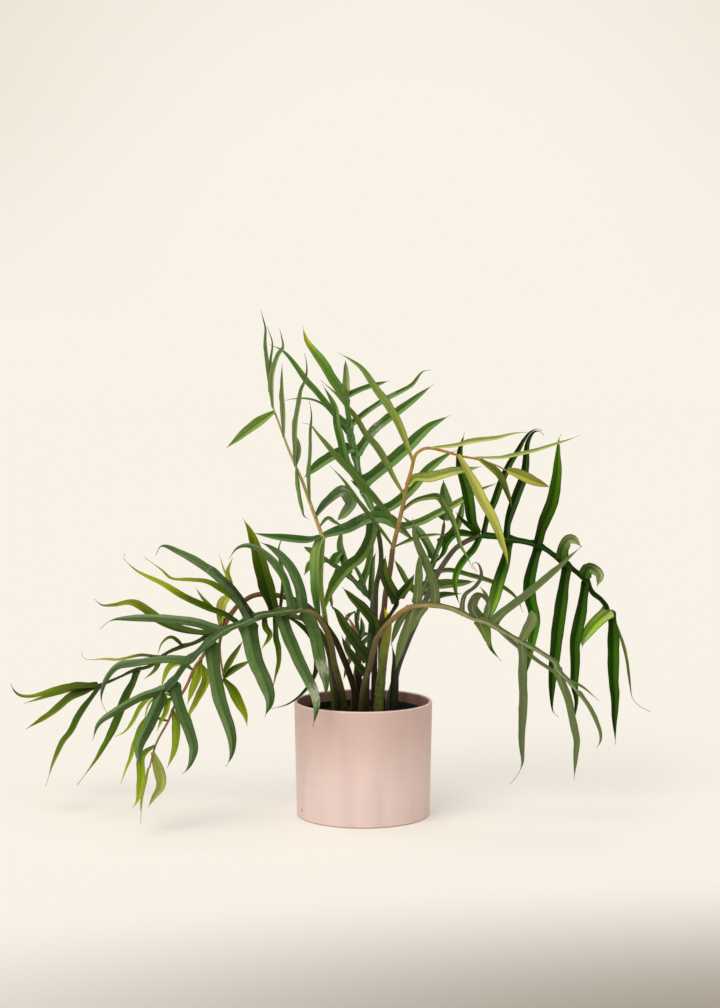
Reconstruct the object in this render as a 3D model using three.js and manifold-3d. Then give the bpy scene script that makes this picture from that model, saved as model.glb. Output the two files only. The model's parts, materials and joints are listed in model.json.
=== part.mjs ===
// Potted fern-leaf philodendron: a pink planter with a nursery pot, soil, and fronds cut to the rib.
// Millimetres, +Z up, origin at the middle of the planter's base, the front of the plant towards -Y.
import * as THREE from "three";
import { mergeVertices } from "three/addons/utils/BufferGeometryUtils.js";
import Module from "manifold-3d";

const wasm = await Module();
wasm.setup();

// Driving dimensions of the pots and the soil
const planterRadius = 90;
const planterHeight = 150;
const planterBaseRadius = 87;
const planterWall = 4;
const planterFloor = 6;
const planterFoot = 2;
const planterLip = 1.2;
const potRimRadius = 78;
const potRimHeight = 138;
const potBaseRadius = 62;
const potWall = 1.4;
const potRimStep = 2.5;
const potRimDepth = 7;
const soilHeight = 131;
const soilMound = 3;
const soilShoulder = 3;
const turnedSides = 64;
const soilSides = 32;
const seatGap = 0.3;

// Sizes that all fronds share
const stemSides = 7;
const ribSides = 5;
const bladeThickness = 0.9;
const rootDepth = 34;
const leafletSegment = 36;
const stalkSegment = 28;

// The fronds are set out as the eye sees them from in front: each point is across and up in the plane y = 0,
// and is then moved along the line of sight to its depth, which is a third number at some of the points.
const eye = new THREE.Vector3(-4, -2570, 590);

function seen(across, up, depth) {
  const share = (depth - eye.y) / -eye.y;
  return new THREE.Vector3(
    eye.x + (across - eye.x) * share,
    depth,
    eye.z + (up - eye.z) * share,
  );
}

// Depths between the points that state one are graded by the length of the line.
function place(points) {
  const along = [0];
  for (let i = 1; i < points.length; i++) {
    const [a, b] = [points[i - 1], points[i]];
    along.push(along[i - 1] + Math.hypot(b[0] - a[0], b[1] - a[1]));
  }
  const known = points.map((p, i) => i).filter((i) => points[i].length > 2);
  return points.map(([across, up], i) => {
    const after = known.find((k) => k >= i);
    const before = known.findLast((k) => k <= i);
    const span = along[after] - along[before];
    const share = span > 0 ? (along[i] - along[before]) / span : 0;
    const depth = THREE.MathUtils.lerp(points[before][2], points[after][2], share);
    return seen(across, up, depth);
  });
}

function curveThrough(points) {
  return new THREE.CatmullRomCurve3(points, false, "centripetal");
}

function solidOf(vertices, triangles) {
  const geometry = new THREE.BufferGeometry();
  geometry.setAttribute("position", new THREE.Float32BufferAttribute(vertices, 3));
  geometry.setIndex(triangles);
  return new wasm.Manifold(new wasm.Mesh({
    numProp: 3,
    vertProperties: geometry.attributes.position.array,
    triVerts: Uint32Array.from(geometry.index.array),
  }));
}

// A three.js geometry as a solid: shared points are merged, and faces that shrink to a line are left out.
function solidOfGeometry(geometry) {
  const bare = geometry.clone();
  bare.deleteAttribute("normal");
  bare.deleteAttribute("uv");
  const merged = mergeVertices(bare, 1e-4);
  const corners = Array.from(merged.index.array);
  const triangles = [];
  for (let i = 0; i < corners.length; i += 3) {
    const [a, b, c] = corners.slice(i, i + 3);
    if (a !== b && b !== c && c !== a) triangles.push(a, b, c);
  }
  return solidOf(Array.from(merged.attributes.position.array), triangles);
}

function geometryOf(solid) {
  const mesh = solid.getMesh();
  const geometry = new THREE.BufferGeometry();
  const vertices = Array.from({ length: mesh.numVert }, (_, i) => [
    ...mesh.vertProperties.subarray(i * mesh.numProp, i * mesh.numProp + 3),
  ]);
  geometry.setAttribute("position", new THREE.Float32BufferAttribute(vertices.flat(), 3));
  geometry.setIndex(Array.from(mesh.triVerts));
  return geometry.toNonIndexed();
}

function lengthened(points, length) {
  const line = points.map((p) => p.clone());
  const last = line.length - 1;
  line[0].addScaledVector(points[0].clone().sub(points[1]).normalize(), length);
  line[last].addScaledVector(points[last].clone().sub(points[last - 1]).normalize(), length);
  return line;
}

// A round stalk along a line, of evenly stepped radius, with flat ends. A grown one is its clearance.
function stalk(points, radiusStart, radiusEnd, sides, grow = 0) {
  const curve = curveThrough(lengthened(points, grow));
  const steps = Math.max(2, Math.round(curve.getLength() / stalkSegment));
  const frames = curve.computeFrenetFrames(steps, false);
  const vertices = [];
  const triangles = [];
  for (let i = 0; i <= steps; i++) {
    const centre = curve.getPointAt(i / steps);
    const radius = THREE.MathUtils.lerp(radiusStart, radiusEnd, i / steps) + grow;
    for (let j = 0; j < sides; j++) {
      const angle = (j / sides) * 2 * Math.PI;
      const spoke = frames.normals[i].clone().multiplyScalar(Math.cos(angle) * radius)
        .addScaledVector(frames.binormals[i], Math.sin(angle) * radius);
      vertices.push(...centre.clone().add(spoke).toArray());
    }
  }
  for (let i = 0; i < steps; i++) {
    for (let j = 0; j < sides; j++) {
      const [a, b] = [i * sides + j, i * sides + ((j + 1) % sides)];
      triangles.push(a, b, b + sides, a, b + sides, a + sides);
    }
  }
  const last = steps * sides;
  for (let j = 1; j < sides - 1; j++) {
    triangles.push(0, j + 1, j, last, last + j, last + j + 1);
  }
  return solidOf(vertices, triangles);
}

// Share of its full width that a leaflet has at each share of its length: a narrow foot and a drawn-out tip.
const leafletOutline = new THREE.SplineCurve([
  new THREE.Vector2(0, 0.6),
  new THREE.Vector2(0.15, 0.86),
  new THREE.Vector2(0.4, 1),
  new THREE.Vector2(0.65, 0.76),
  new THREE.Vector2(0.86, 0.32),
  new THREE.Vector2(1, 0.08),
]);

// A thin blade along a line, its upper side towards face. Both sides are split along the same diagonals.
function leafletBlade(points, width, face, grow = 0) {
  const curve = curveThrough(lengthened(points, grow));
  const segments = THREE.MathUtils.clamp(Math.round(curve.getLength() / leafletSegment), 3, 7);
  const vertices = [];
  const triangles = [];
  const across = new THREE.Vector3();
  for (let i = 0; i <= segments; i++) {
    const outline = leafletOutline.getPoint(i / segments);
    const centre = curve.getPointAt(THREE.MathUtils.clamp(outline.x, 0, 1));
    const along = curve.getTangentAt(THREE.MathUtils.clamp(outline.x, 0, 1));
    const side = along.clone().cross(face).normalize();
    if (side.dot(across) < 0) side.negate();
    across.copy(side);
    const up = side.clone().cross(along).normalize().multiplyScalar(bladeThickness / 2 + grow);
    side.multiplyScalar(Math.max(width * outline.y, 1) / 2 + grow);
    vertices.push(
      ...centre.clone().sub(side).add(up).toArray(),
      ...centre.clone().add(side).add(up).toArray(),
      ...centre.clone().add(side).sub(up).toArray(),
      ...centre.clone().sub(side).sub(up).toArray(),
    );
  }
  for (let i = 0; i < segments; i++) {
    const [a, b] = [4 * i, 4 * i + 4];
    triangles.push(a, a + 1, b + 1, a, b + 1, b);
    triangles.push(a + 1, a + 2, b + 2, a + 1, b + 2, b + 1);
    triangles.push(a + 2, a + 3, b + 2, a + 3, b + 3, b + 2);
    triangles.push(a + 3, a, b, a + 3, b, b + 3);
  }
  const last = 4 * segments;
  triangles.push(0, 2, 1, 0, 3, 2, last, last + 1, last + 2, last, last + 2, last + 3);
  return solidOf(vertices, triangles);
}

// A leaflet's line starts on the rib, at the rib's nearest point, with the rib's depth there.
function leafletLine(ribCurves, points) {
  const [across, up] = points[0];
  const first = { gap: Infinity };
  for (const curve of ribCurves) {
    for (let i = 0; i <= 80; i++) {
      const point = curve.getPointAt(i / 80);
      const share = -eye.y / (point.y - eye.y);
      const seenAcross = eye.x + (point.x - eye.x) * share;
      const seenUp = eye.z + (point.z - eye.z) * share;
      const gap = Math.hypot(seenAcross - across, seenUp - up);
      if (gap < first.gap) Object.assign(first, { gap, point: [seenAcross, seenUp, point.y] });
    }
  }
  const rest = first.gap < 9 ? points.slice(1) : points;
  return place([first.point, ...rest]);
}

const leafGreen = 0x2f5a1e;
const glaucousGreen = 0x3f6b45;
const oliveGreen = 0x5e7300;
const undersideGreen = 0x5f7a55;
const petioleBrown = 0x4a4030;
const tanRib = 0xb88a50;

// Each frond: its petiole and ribs from the root up, with start and end radius, the way its upper side
// faces, and its leaflets, each a width and a line from the rib to the tip.
const fronds = [
  {
    name: "frond_left_front",
    colour: glaucousGreen,
    face: [-0.15, -0.75, 0.65],
    petioleRadii: [4.5, 3.4],
    petiole: [[-24, 138, -25], [-30, 170], [-38, 200], [-42, 225], [-50, 245], [-62, 262], [-78, 268, -60]],
    ribRadii: [3, 1.2],
    ribs: [[[-78, 268, -60], [-98, 266], [-116, 263], [-136, 260], [-151, 252, -100], [-175, 243],
      [-195, 230], [-215, 212], [-230, 198, -130], [-245, 178], [-262, 160, -140]]],
    leaflets: [
      [15, [-76, 270], [-66, 245], [-57, 205], [-49, 175], [-49, 151, -92]],
      [14, [-107, 264], [-98, 235], [-81, 197], [-64, 160], [-61, 142], [-66, 114, -116]],
      [18, [-150, 252], [-142, 209], [-133, 187], [-122, 149], [-129, 127, -138]],
      [15, [-200, 226], [-195, 190], [-187, 150], [-175, 115], [-171, 95], [-173, 75], [-180, 62, -164]],
      [13, [-247, 172], [-240, 140], [-228, 110], [-222, 85], [-228, 62], [-237, 52, -178]],
      [14, [-262, 160], [-280, 120], [-293, 90], [-293, 70], [-290, 60, -172]],
      [10, [-258, 165], [-290, 155], [-320, 138], [-345, 120], [-354, 97, -152]],
      [12, [-80, 269], [-81, 288], [-87, 310], [-96, 327], [-106, 339], [-121, 351], [-134, 357, -18]],
      [9, [-93, 267], [-97, 288], [-103, 310], [-113, 327], [-125, 340], [-137, 349], [-151, 353],
        [-164, 349], [-175, 335, -34]],
      [12, [-145, 256], [-165, 288], [-185, 310], [-205, 326], [-240, 345], [-262, 352], [-270, 340, -42]],
      [11, [-182, 240], [-215, 252], [-260, 258], [-300, 258], [-330, 254], [-343, 243, -70]],
      [11, [-225, 205], [-260, 205], [-300, 200], [-322, 195], [-337, 175], [-342, 150], [-335, 133, -104]],
    ],
  },
  {
    name: "frond_left_behind",
    colour: oliveGreen,
    face: [-0.3, -0.5, 0.8],
    petioleRadii: [4.2, 3],
    petiole: [[-33, 138, -8], [-36, 170], [-42, 200], [-49, 225], [-59, 243], [-73, 254], [-90, 260],
      [-108, 264, 0]],
    ribRadii: [2.8, 1.2],
    ribs: [[[-108, 264, 0], [-130, 259], [-150, 252], [-190, 240], [-217, 226, 22], [-237, 219], [-255, 212],
      [-276, 195], [-300, 188], [-318, 180], [-335, 172], [-352, 166, 84]]],
    leaflets: [
      [18, [-113, 265], [-124, 297], [-131, 321], [-137, 342], [-147, 371], [-156, 388, -14]],
      [5, [-108, 265], [-105, 290], [-104, 312], [-108, 334], [-110, 343], [-108, 356], [-102, 366, 20]],
      [8, [-114, 264], [-113, 232], [-110, 218], [-110, 197], [-115, 179], [-119, 163, -8]],
      [9, [-160, 250], [-182, 263], [-199, 269], [-217, 277], [-237, 287], [-260, 302], [-276, 310],
        [-293, 319], [-303, 327], [-311, 336], [-310, 342, 36]],
      [8, [-145, 254], [-170, 285], [-187, 296], [-201, 304], [-224, 307], [-250, 310], [-261, 320],
        [-274, 330], [-284, 337, 12]],
      [13, [-200, 235], [-235, 241], [-265, 254], [-285, 270], [-302, 278], [-324, 275], [-340, 275],
        [-350, 283, 66]],
      [5, [-235, 220], [-250, 232], [-262, 225], [-268, 211, 24]],
      [6, [-262, 207], [-290, 208], [-318, 203], [-340, 204], [-361, 204], [-366, 208], [-367, 214, 92]],
      [12, [-345, 168], [-375, 167], [-400, 162], [-430, 155], [-447, 156], [-455, 162], [-460, 172, 104]],
      [9, [-352, 166], [-375, 163], [-410, 155], [-443, 146, 70]],
      [15, [-350, 167], [-362, 160], [-382, 152], [-400, 137], [-417, 126], [-441, 112, 44]],
      [11, [-341, 170], [-361, 143], [-372, 126], [-382, 107], [-392, 95], [-400, 80], [-407, 64],
        [-416, 36, 4]],
      [14, [-293, 189], [-301, 169], [-308, 155], [-318, 129], [-327, 107], [-338, 89], [-349, 72],
        [-361, 56], [-375, 38, -28]],
      [7, [-262, 207], [-270, 190], [-286, 178, 20]],
      [7, [-128, 259], [-126, 245], [-121, 235], [-133, 217, -4]],
      [7, [-108, 264], [-84, 250], [-66, 230], [-60, 205], [-62, 185], [-75, 163], [-98, 145],
        [-120, 139, -30]],
    ],
  },
  {
    name: "frond_left_low",
    colour: oliveGreen,
    face: [-0.45, -0.6, 0.65],
    petioleRadii: [4.5, 3.2],
    petiole: [[-10, 138, -4], [-11, 160], [-20, 190], [-28, 210], [-38, 232, 1], [-55, 255, 5], [-75, 275],
      [-101, 285, 30], [-127, 289, 36], [-143, 287, 36], [-163, 275, 34]],
    ribRadii: [3, 1.2],
    ribs: [
      [[-163, 275, 34], [-185, 248, 38], [-200, 224, 22], [-211, 205, -5], [-219, 194], [-231, 168, -40], [-247, 141],
        [-255, 122, -75], [-271, 92], [-280, 60, -105]],
      [[-165, 272, 34], [-178, 252, 36], [-187, 225, 34], [-182, 178, 24]],
    ],
    leaflets: [
      [6, [-280, 60], [-284, 43], [-288, 28], [-291, 10], [-292, -14, -122]],
      [12, [-211, 205], [-215, 178], [-223, 161], [-230, 145, -25]],
      [8, [-214, 200], [-204, 182], [-208, 165], [-218, 147], [-227, 130], [-223, 120, -10]],
      [8, [-248, 137], [-243, 118], [-243, 101], [-246, 84], [-257, 60, -98]],
      [9, [-272, 90], [-288, 75], [-290, 46], [-293, 28], [-297, 15], [-303, 7, -108]],
      [9, [-275, 80], [-268, 60], [-264, 43], [-266, 33], [-274, 22], [-282, 8, -118]],
      [8, [-255, 122], [-280, 126], [-297, 95], [-304, 74], [-310, 60], [-318, 39, -96]],
      [10, [-222, 190], [-240, 198], [-252, 192], [-260, 178], [-264, 165, -48]],
      [7, [-243, 150], [-252, 150], [-258, 132], [-264, 122], [-270, 109, -88]],
      [8, [-238, 155], [-262, 162], [-275, 155], [-290, 140], [-300, 123], [-311, 109], [-324, 102, -72]],
      [4, [-241, 152], [-262, 157], [-278, 147], [-287, 122, -98]],
      [7, [-182, 178], [-171, 164], [-162, 148], [-154, 130], [-152, 115, 4]],
      [7, [-183, 178], [-168, 189], [-146, 203, 26]],
      [6, [-182, 182], [-175, 196], [-157, 228, 34]],
      [12, [-185, 249], [-184, 265], [-181, 280], [-172, 287, 42]],
      [8, [-164, 275], [-170, 292], [-173, 305], [-176, 317], [-170, 337, 46]],
      [3, [-163, 275], [-172, 300], [-182, 324], [-187, 341, 36]],
      [5, [-180, 256], [-198, 272], [-209, 284], [-218, 298, 30]],
    ],
  },
  {
    name: "frond_top_left",
    colour: glaucousGreen,
    face: [-0.5, -0.75, 0.35],
    petioleRadii: [4, 2.9],
    petiole: [[-38, 138, 13], [-41, 180], [-45, 220], [-50, 260, 23], [-55, 300], [-53, 350], [-52, 362, 26]],
    ribRadii: [2.6, 1.1],
    ribs: [[[-52, 362, 26], [-61, 386], [-70, 411], [-79, 436], [-89, 459], [-98, 481], [-105, 500],
      [-112, 519], [-117, 533], [-121, 551, 66]]],
    leaflets: [
      [7, [-121, 551], [-121, 566], [-123, 586], [-126, 614], [-126, 633], [-129, 645], [-132, 656, 80]],
      [15, [-115, 526], [-143, 505], [-178, 479, 30]],
      [5, [-120, 546], [-119, 575], [-119, 592], [-117, 614], [-124, 635, 50]],
      [9, [-116, 530], [-118, 566], [-115, 583], [-109, 600], [-103, 609], [-105, 621], [-108, 632, 24]],
      [8, [-102, 492], [-103, 530], [-105, 558], [-105, 588, 20]],
      [8, [-87, 456], [-88, 500], [-86, 519], [-82, 540], [-80, 554], [-74, 569], [-73, 586],
        [-76, 601, 10]],
      [10, [-87, 455], [-84, 478], [-87, 496, 50]],
      [7, [-68, 406], [-70, 446], [-68, 474], [-68, 500], [-67, 522], [-70, 540, 22]],
      [7, [-86, 452], [-84, 432], [-82, 415], [-79, 400], [-77, 391], [-71, 387, 14]],
      [10, [-62, 390], [-43, 411], [-26, 422], [-18, 415], [-15, 407], [-22, 397], [-35, 384, 6]],
      [5, [-57, 376], [-45, 388], [-37, 383], [-25, 377, 18]],
      [11, [-53, 364], [-70, 359], [-89, 360], [-117, 364], [-143, 369, 8]],
      [13, [-53, 364], [-20, 374], [10, 388], [34, 386], [60, 364], [70, 355, 22]],
      [11, [-53, 365], [-60, 345], [-62, 300], [-60, 275], [-55, 249, -14]],
    ],
  },
  {
    name: "frond_centre_rear",
    colour: glaucousGreen,
    face: [0, -0.85, 0.5],
    petioleRadii: [4.4, 3],
    petiole: [[14, 138, 22], [16, 278], [17, 300], [23, 330], [22, 355], [14, 393, 64]],
    ribRadii: [2.6, 1.1],
    ribs: [[[14, 393, 64], [8, 407], [2, 421], [-5, 439], [-9, 464], [-16, 492], [-18, 512], [-21, 534],
      [-22, 548, 132]]],
    leaflets: [
      [8, [-22, 548], [-22, 566], [-23, 593, 150]],
      [8, [-20, 545], [-1, 555], [17, 561], [33, 566, 144]],
      [7, [-17, 508], [13, 532], [31, 543], [48, 552], [63, 561], [77, 578], [87, 580, 164]],
      [10, [-10, 468], [13, 500], [33, 517], [44, 525], [69, 545], [91, 562, 150]],
      [13, [-2, 432], [24, 451], [44, 468], [61, 483], [73, 496], [87, 508], [113, 522, 128]],
      [11, [14, 393], [38, 404], [62, 425], [85, 452], [108, 470], [122, 477, 104]],
      [10, [15, 388], [47, 378], [74, 383], [94, 393], [115, 404], [129, 412], [151, 425], [177, 435, 116]],
      [12, [-22, 542], [-38, 566], [-49, 583], [-61, 600], [-73, 618], [-78, 636, 168]],
      [8, [-18, 505], [-32, 518], [-43, 530], [-59, 550], [-74, 566], [-87, 585], [-98, 599],
        [-106, 606], [-121, 613, 140]],
      [4, [-16, 492], [-50, 534], [-61, 540], [-75, 543], [-89, 543], [-101, 541, 158]],
      [10, [-3, 434], [-17, 452], [-24, 467], [-29, 488], [-34, 509], [-36, 529], [-41, 541], [-53, 562, 92]],
      [12, [-12, 480], [-40, 468], [-60, 455], [-78, 440, 66]],
      [5, [2, 421], [-8, 430], [-16, 438, 84]],
      [14, [14, 390], [9, 360], [-5, 336], [-19, 324], [-33, 308], [-41, 296], [-46, 285], [-50, 270],
        [-50, 259, 34]],
    ],
  },
  {
    name: "frond_centre_tan",
    colour: leafGreen,
    face: [0.1, -0.9, 0.4],
    petioleRadii: [4.6, 3.4],
    petiole: [[24, 138, 2], [24, 254], [27, 270], [29, 290], [35, 321], [38, 348, -10]],
    ribRadii: [3.2, 0.9],
    ribs: [[[38, 348, -10], [42, 365], [48, 390], [53, 412], [57, 432], [62, 450], [67, 469, -50], [71, 474],
      [78, 478], [86, 479, -40], [108, 474], [126, 469], [150, 464], [171, 457], [192, 447, 36]]],
    leaflets: [
      [16, [186, 450], [200, 445], [216, 438], [243, 428, 52]],
      [10, [64, 460], [55, 486], [44, 513], [31, 535], [17, 554], [5, 573], [-4, 584], [-18, 594],
        [-32, 602, -78]],
      [8, [54, 418], [41, 438], [30, 459], [17, 480], [3, 497], [-9, 517], [-22, 534], [-34, 548],
        [-55, 567, -66]],
      [10, [44, 376], [23, 404], [6, 422], [-11, 443], [-33, 466], [-47, 483], [-61, 500], [-68, 509],
        [-79, 512, -60]],
      [6, [39, 352], [23, 372], [9, 390], [-8, 412], [-26, 438], [-43, 456, -30]],
      [13, [122, 470], [136, 446], [147, 425], [158, 404], [168, 386], [177, 366], [180, 356], [185, 342],
        [189, 321, -48]],
      [9, [150, 464], [174, 446], [185, 425], [194, 398, 12]],
      [11, [57, 432], [66, 440], [85, 440], [110, 447], [125, 450], [143, 453], [154, 456, -2]],
      [5, [140, 466], [180, 467], [200, 471], [222, 476], [250, 485], [271, 492], [280, 496, -34]],
      [6, [86, 479], [122, 483], [136, 487], [157, 490], [172, 492], [194, 498], [213, 500, -70]],
      [8, [50, 398], [66, 410], [83, 415], [97, 415], [105, 404], [115, 387], [122, 367], [126, 353],
        [136, 336], [142, 322, -70]],
      [5, [39, 352], [59, 359], [80, 365], [97, 367], [108, 365, 4]],
    ],
  },
  {
    name: "frond_right_rear",
    colour: leafGreen,
    face: [0.2, -0.75, 0.62],
    petioleRadii: [4.6, 3.3],
    petiole: [[38, 138, 17], [44, 189], [57, 225], [69, 253], [83, 285], [96, 314], [108, 334], [119, 348],
      [130, 356], [149, 365, 52]],
    ribRadii: [3, 1.1],
    ribs: [[[149, 365, 52], [173, 363], [187, 360], [201, 358], [216, 355], [228, 352], [236, 347],
      [250, 337], [264, 327], [278, 316], [289, 307], [297, 291], [308, 282], [316, 272], [321, 268, 92]]],
    leaflets: [
      [14, [150, 365], [140, 383], [137, 404], [133, 425], [128, 442], [125, 453], [125, 474], [131, 500, 110]],
      [7, [150, 365], [143, 372], [130, 383], [120, 396, 44]],
      [9, [156, 365], [161, 390], [170, 411], [177, 432], [190, 460], [200, 476], [208, 490], [216, 500],
        [225, 504], [232, 502, 132]],
      [11, [185, 361], [187, 381], [193, 402], [201, 423], [208, 444], [210, 461], [211, 476], [214, 490],
        [221, 500], [228, 501], [234, 496, 112]],
      [15, [224, 353], [233, 381], [242, 402], [247, 423], [250, 444], [251, 458], [252, 476], [253, 490],
        [256, 497, 6]],
      [10, [256, 333], [258, 350], [268, 361], [277, 357], [283, 351, 50]],
      [9, [286, 309], [292, 323], [300, 320], [307, 313], [304, 299, 66]],
      [10, [321, 268], [302, 251], [287, 230], [285, 218, 56]],
      [5, [321, 268], [327, 251], [337, 226], [343, 203], [348, 170], [352, 152], [360, 143], [376, 134, 122]],
      [9, [151, 365], [120, 367], [108, 355], [104, 343], [91, 327, 28]],
      [9, [153, 365], [144, 348], [133, 336], [123, 321], [119, 305], [122, 285], [126, 275, 4]],
      [14, [189, 360], [184, 331], [176, 305], [168, 275], [160, 255], [162, 235], [166, 219], [180, 201, 10]],
      [15, [228, 352], [222, 335], [219, 324], [215, 303], [216, 282], [220, 267], [223, 253], [219, 225],
        [216, 204], [211, 177, 16]],
      [16, [263, 327], [261, 303], [257, 275], [253, 246], [250, 218], [247, 189], [246, 151], [248, 135],
        [255, 128, 26]],
      [15, [289, 307], [285, 282], [280, 253], [275, 225], [275, 196], [275, 168], [278, 150], [275, 118, 34]],
      [15, [321, 268], [324, 250], [325, 218], [325, 199], [326, 170], [328, 150], [328, 125], [330, 91, 48]],
    ],
  },
  {
    name: "frond_right_front",
    colour: undersideGreen,
    face: [0.1, 0.8, 0.55],
    petioleRadii: [4.3, 3.3],
    petiole: [[-3, 138, -36], [2, 173], [8, 193], [13, 216], [17, 229], [26, 243], [37, 255], [50, 266],
      [63, 273, -64]],
    ribRadii: [3.1, 1.1],
    ribs: [[[63, 273, -64], [77, 274], [90, 274], [113, 270], [142, 257], [163, 250, -96], [184, 238],
      [198, 230], [212, 222], [226, 215], [240, 206], [249, 199], [253, 189, -112], [268, 174],
      [278, 162, -116]]],
    leaflets: [
      [6, [278, 162], [293, 143], [304, 122], [310, 106], [310, 96], [305, 86, -112]],
      [10, [92, 274], [93, 295], [84, 322], [74, 345], [67, 365], [64, 390, -112]],
      [10, [69, 273], [71, 300], [73, 330], [74, 345, -104]],
      [5, [128, 264], [132, 287], [146, 299], [153, 310], [153, 320], [148, 330], [141, 329], [147, 318, -122]],
      [10, [167, 248], [179, 262], [196, 275], [212, 287], [226, 299], [240, 311], [254, 324], [268, 338],
        [284, 352, -156]],
      [11, [205, 226], [212, 239], [217, 249], [220, 260], [219, 268, -136]],
      [10, [150, 255], [142, 272], [150, 287], [161, 280], [157, 268, -120]],
      [6, [160, 251], [164, 270], [159, 288], [152, 299, -84]],
      [6, [170, 246], [198, 222], [233, 197], [260, 180], [285, 168], [308, 149, -96]],
      [10, [206, 226], [208, 208], [208, 180], [209, 150], [208, 122], [207, 102], [208, 83], [208, 66],
        [201, 50], [192, 39, -70]],
      [9, [252, 194], [260, 170], [268, 149], [273, 125], [276, 110], [279, 96], [278, 77], [276, 44, -84]],
      [5, [253, 189], [262, 168], [272, 145, -92]],
      [10, [150, 255], [157, 240], [162, 228], [165, 220, -74]],
      [11, [67, 273], [58, 247], [50, 224], [45, 205], [42, 190, -44]],
      [8, [64, 273], [47, 252], [40, 235], [36, 222, -38]],
      [9, [80, 274], [70, 258], [63, 244], [60, 236, -52]],
    ],
  },
  {
    name: "frond_centre_short",
    colour: leafGreen,
    face: [0.1, -0.9, 0.4],
    petioleRadii: [3.4, 2.6],
    petiole: [[5, 138, -14], [3, 158], [3, 180, -19]],
    ribRadii: [2.5, 1.2],
    ribs: [[[3, 180, -19], [8, 203], [16, 238], [30, 255], [43, 275], [46, 285, -32]]],
    leaflets: [
      [8, [3, 184], [-7, 197], [-16, 211], [-24, 223], [-28, 235, -34]],
      [13, [8, 203], [-3, 216], [-12, 229], [-25, 248], [-35, 267], [-43, 275, -40]],
      [12, [16, 237], [13, 253], [2, 267], [-13, 283], [-27, 298, -38]],
      [14, [44, 279], [37, 290], [29, 307], [26, 320], [29, 339, -36]],
      [9, [46, 285], [50, 290], [60, 302], [66, 315, -34]],
    ],
  },
  {
    name: "frond_rear_right",
    colour: glaucousGreen,
    face: [0.25, -0.75, 0.6],
    petioleRadii: [4, 3],
    petiole: [[31, 138, 36], [44, 190], [60, 245], [76, 290, 86]],
    ribRadii: [2.7, 1.1],
    ribs: [[[76, 290, 86], [84, 310], [92, 335], [102, 365], [105, 385, 130]]],
    leaflets: [
      [14, [105, 385], [108, 404], [105, 418], [104, 438, 142]],
      [4, [105, 384], [102, 404], [94, 419], [86, 418, 120]],
      [7, [86, 316], [110, 320], [140, 313], [167, 305], [185, 296], [200, 283], [208, 265, 130]],
      [14, [78, 296], [88, 300], [100, 300], [122, 303], [145, 306, 104]],
      [8, [77, 292], [90, 285], [105, 288], [128, 290, 120]],
      [10, [76, 291], [64, 294], [56, 304], [48, 320], [40, 335, 72]],
      [5, [90, 328], [95, 345], [104, 362, 98]],
      [11, [92, 335], [84, 352], [70, 372], [50, 392, 168]],
      [10, [98, 352], [118, 372], [126, 392], [130, 415, 178]],
    ],
  },
  {
    name: "frond_rear_left",
    colour: glaucousGreen,
    face: [-0.2, -0.8, 0.55],
    petioleRadii: [3.8, 2.8],
    petiole: [[4, 138, 44], [6, 190], [9, 240], [12, 280, 90]],
    ribRadii: [2.6, 1.1],
    ribs: [[[12, 280, 90], [-2, 296], [-16, 310], [-28, 320], [-40, 328], [-60, 341, 138]]],
    leaflets: [
      [7, [-60, 341], [-69, 346], [-77, 351, 146]],
      [11, [-50, 334], [-60, 331], [-68, 327], [-77, 314, 122]],
      [10, [-38, 327], [-34, 338], [-25, 346, 142]],
      [5, [4, 290], [-2, 308], [-12, 326], [-25, 337, 128]],
      [7, [11, 282], [11, 308], [13, 333], [17, 345, 112]],
      [10, [-20, 313], [-24, 330], [-30, 352], [-28, 376, 176]],
      [9, [-4, 298], [6, 322], [10, 350], [6, 380, 168]],
      [9, [-30, 321], [-38, 308], [-42, 290], [-40, 268, 168]],
    ],
  },
  {
    name: "frond_rear_low",
    colour: glaucousGreen,
    face: [0, -0.3, 0.95],
    petioleRadii: [3.2, 2.4],
    petiole: [[-14, 138, 34], [-12, 170], [-8, 205, 78]],
    ribRadii: [2.2, 1],
    ribs: [[[-8, 205, 78], [-6, 226], [-8, 246], [-11, 266, 132]]],
    leaflets: [
      [9, [-11, 266], [-18, 260], [-24, 248, 146]],
      [6, [-7, 228], [-1, 240], [-3, 260, 120]],
      [5, [-9, 252], [-6, 268], [-3, 281, 130]],
      [8, [-8, 207], [-15, 203], [-21, 190], [-26, 178, 74]],
      [8, [-7, 216], [2, 226], [10, 238, 92]],
      [10, [-7, 232], [8, 236], [20, 226], [24, 206, 164]],
      [10, [-8, 244], [-16, 236], [-20, 220], [-18, 202, 172]],
    ],
  },
];

// Growth that stands by itself in the soil or on the stem
const stemRadii = [6.6, 5.2];
const stem = [[20, 138, -16], [22, 166, -16], [26, 203, -16]];
const newSpearRadii = [5.2, 1.2];
const newSpear = [[40, 138, -6], [41, 173], [41, 200], [37, 224, -6]];
const yellowSheathWidth = 11;
const yellowSheath = [[26.05, 203.5, -16], [27.6, 220], [32, 243], [33, 255], [29, 266, -20]];
const drySheathWidth = 8;
const drySheath = [[-4, 138, 22], [-6, 190], [-8, 228], [-13, 247], [-25, 265, 28]];

function withRoot(points) {
  const line = place(points);
  const root = line[0].clone();
  root.z -= rootDepth;
  return [root, ...line];
}

function largestBody(solid) {
  return solid.decompose().reduce((a, b) => (b.volume() > a.volume() ? b : a));
}

function petioleOf(frond, grow = 0) {
  return stalk(withRoot(frond.petiole), ...frond.petioleRadii, stemSides, grow);
}

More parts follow.
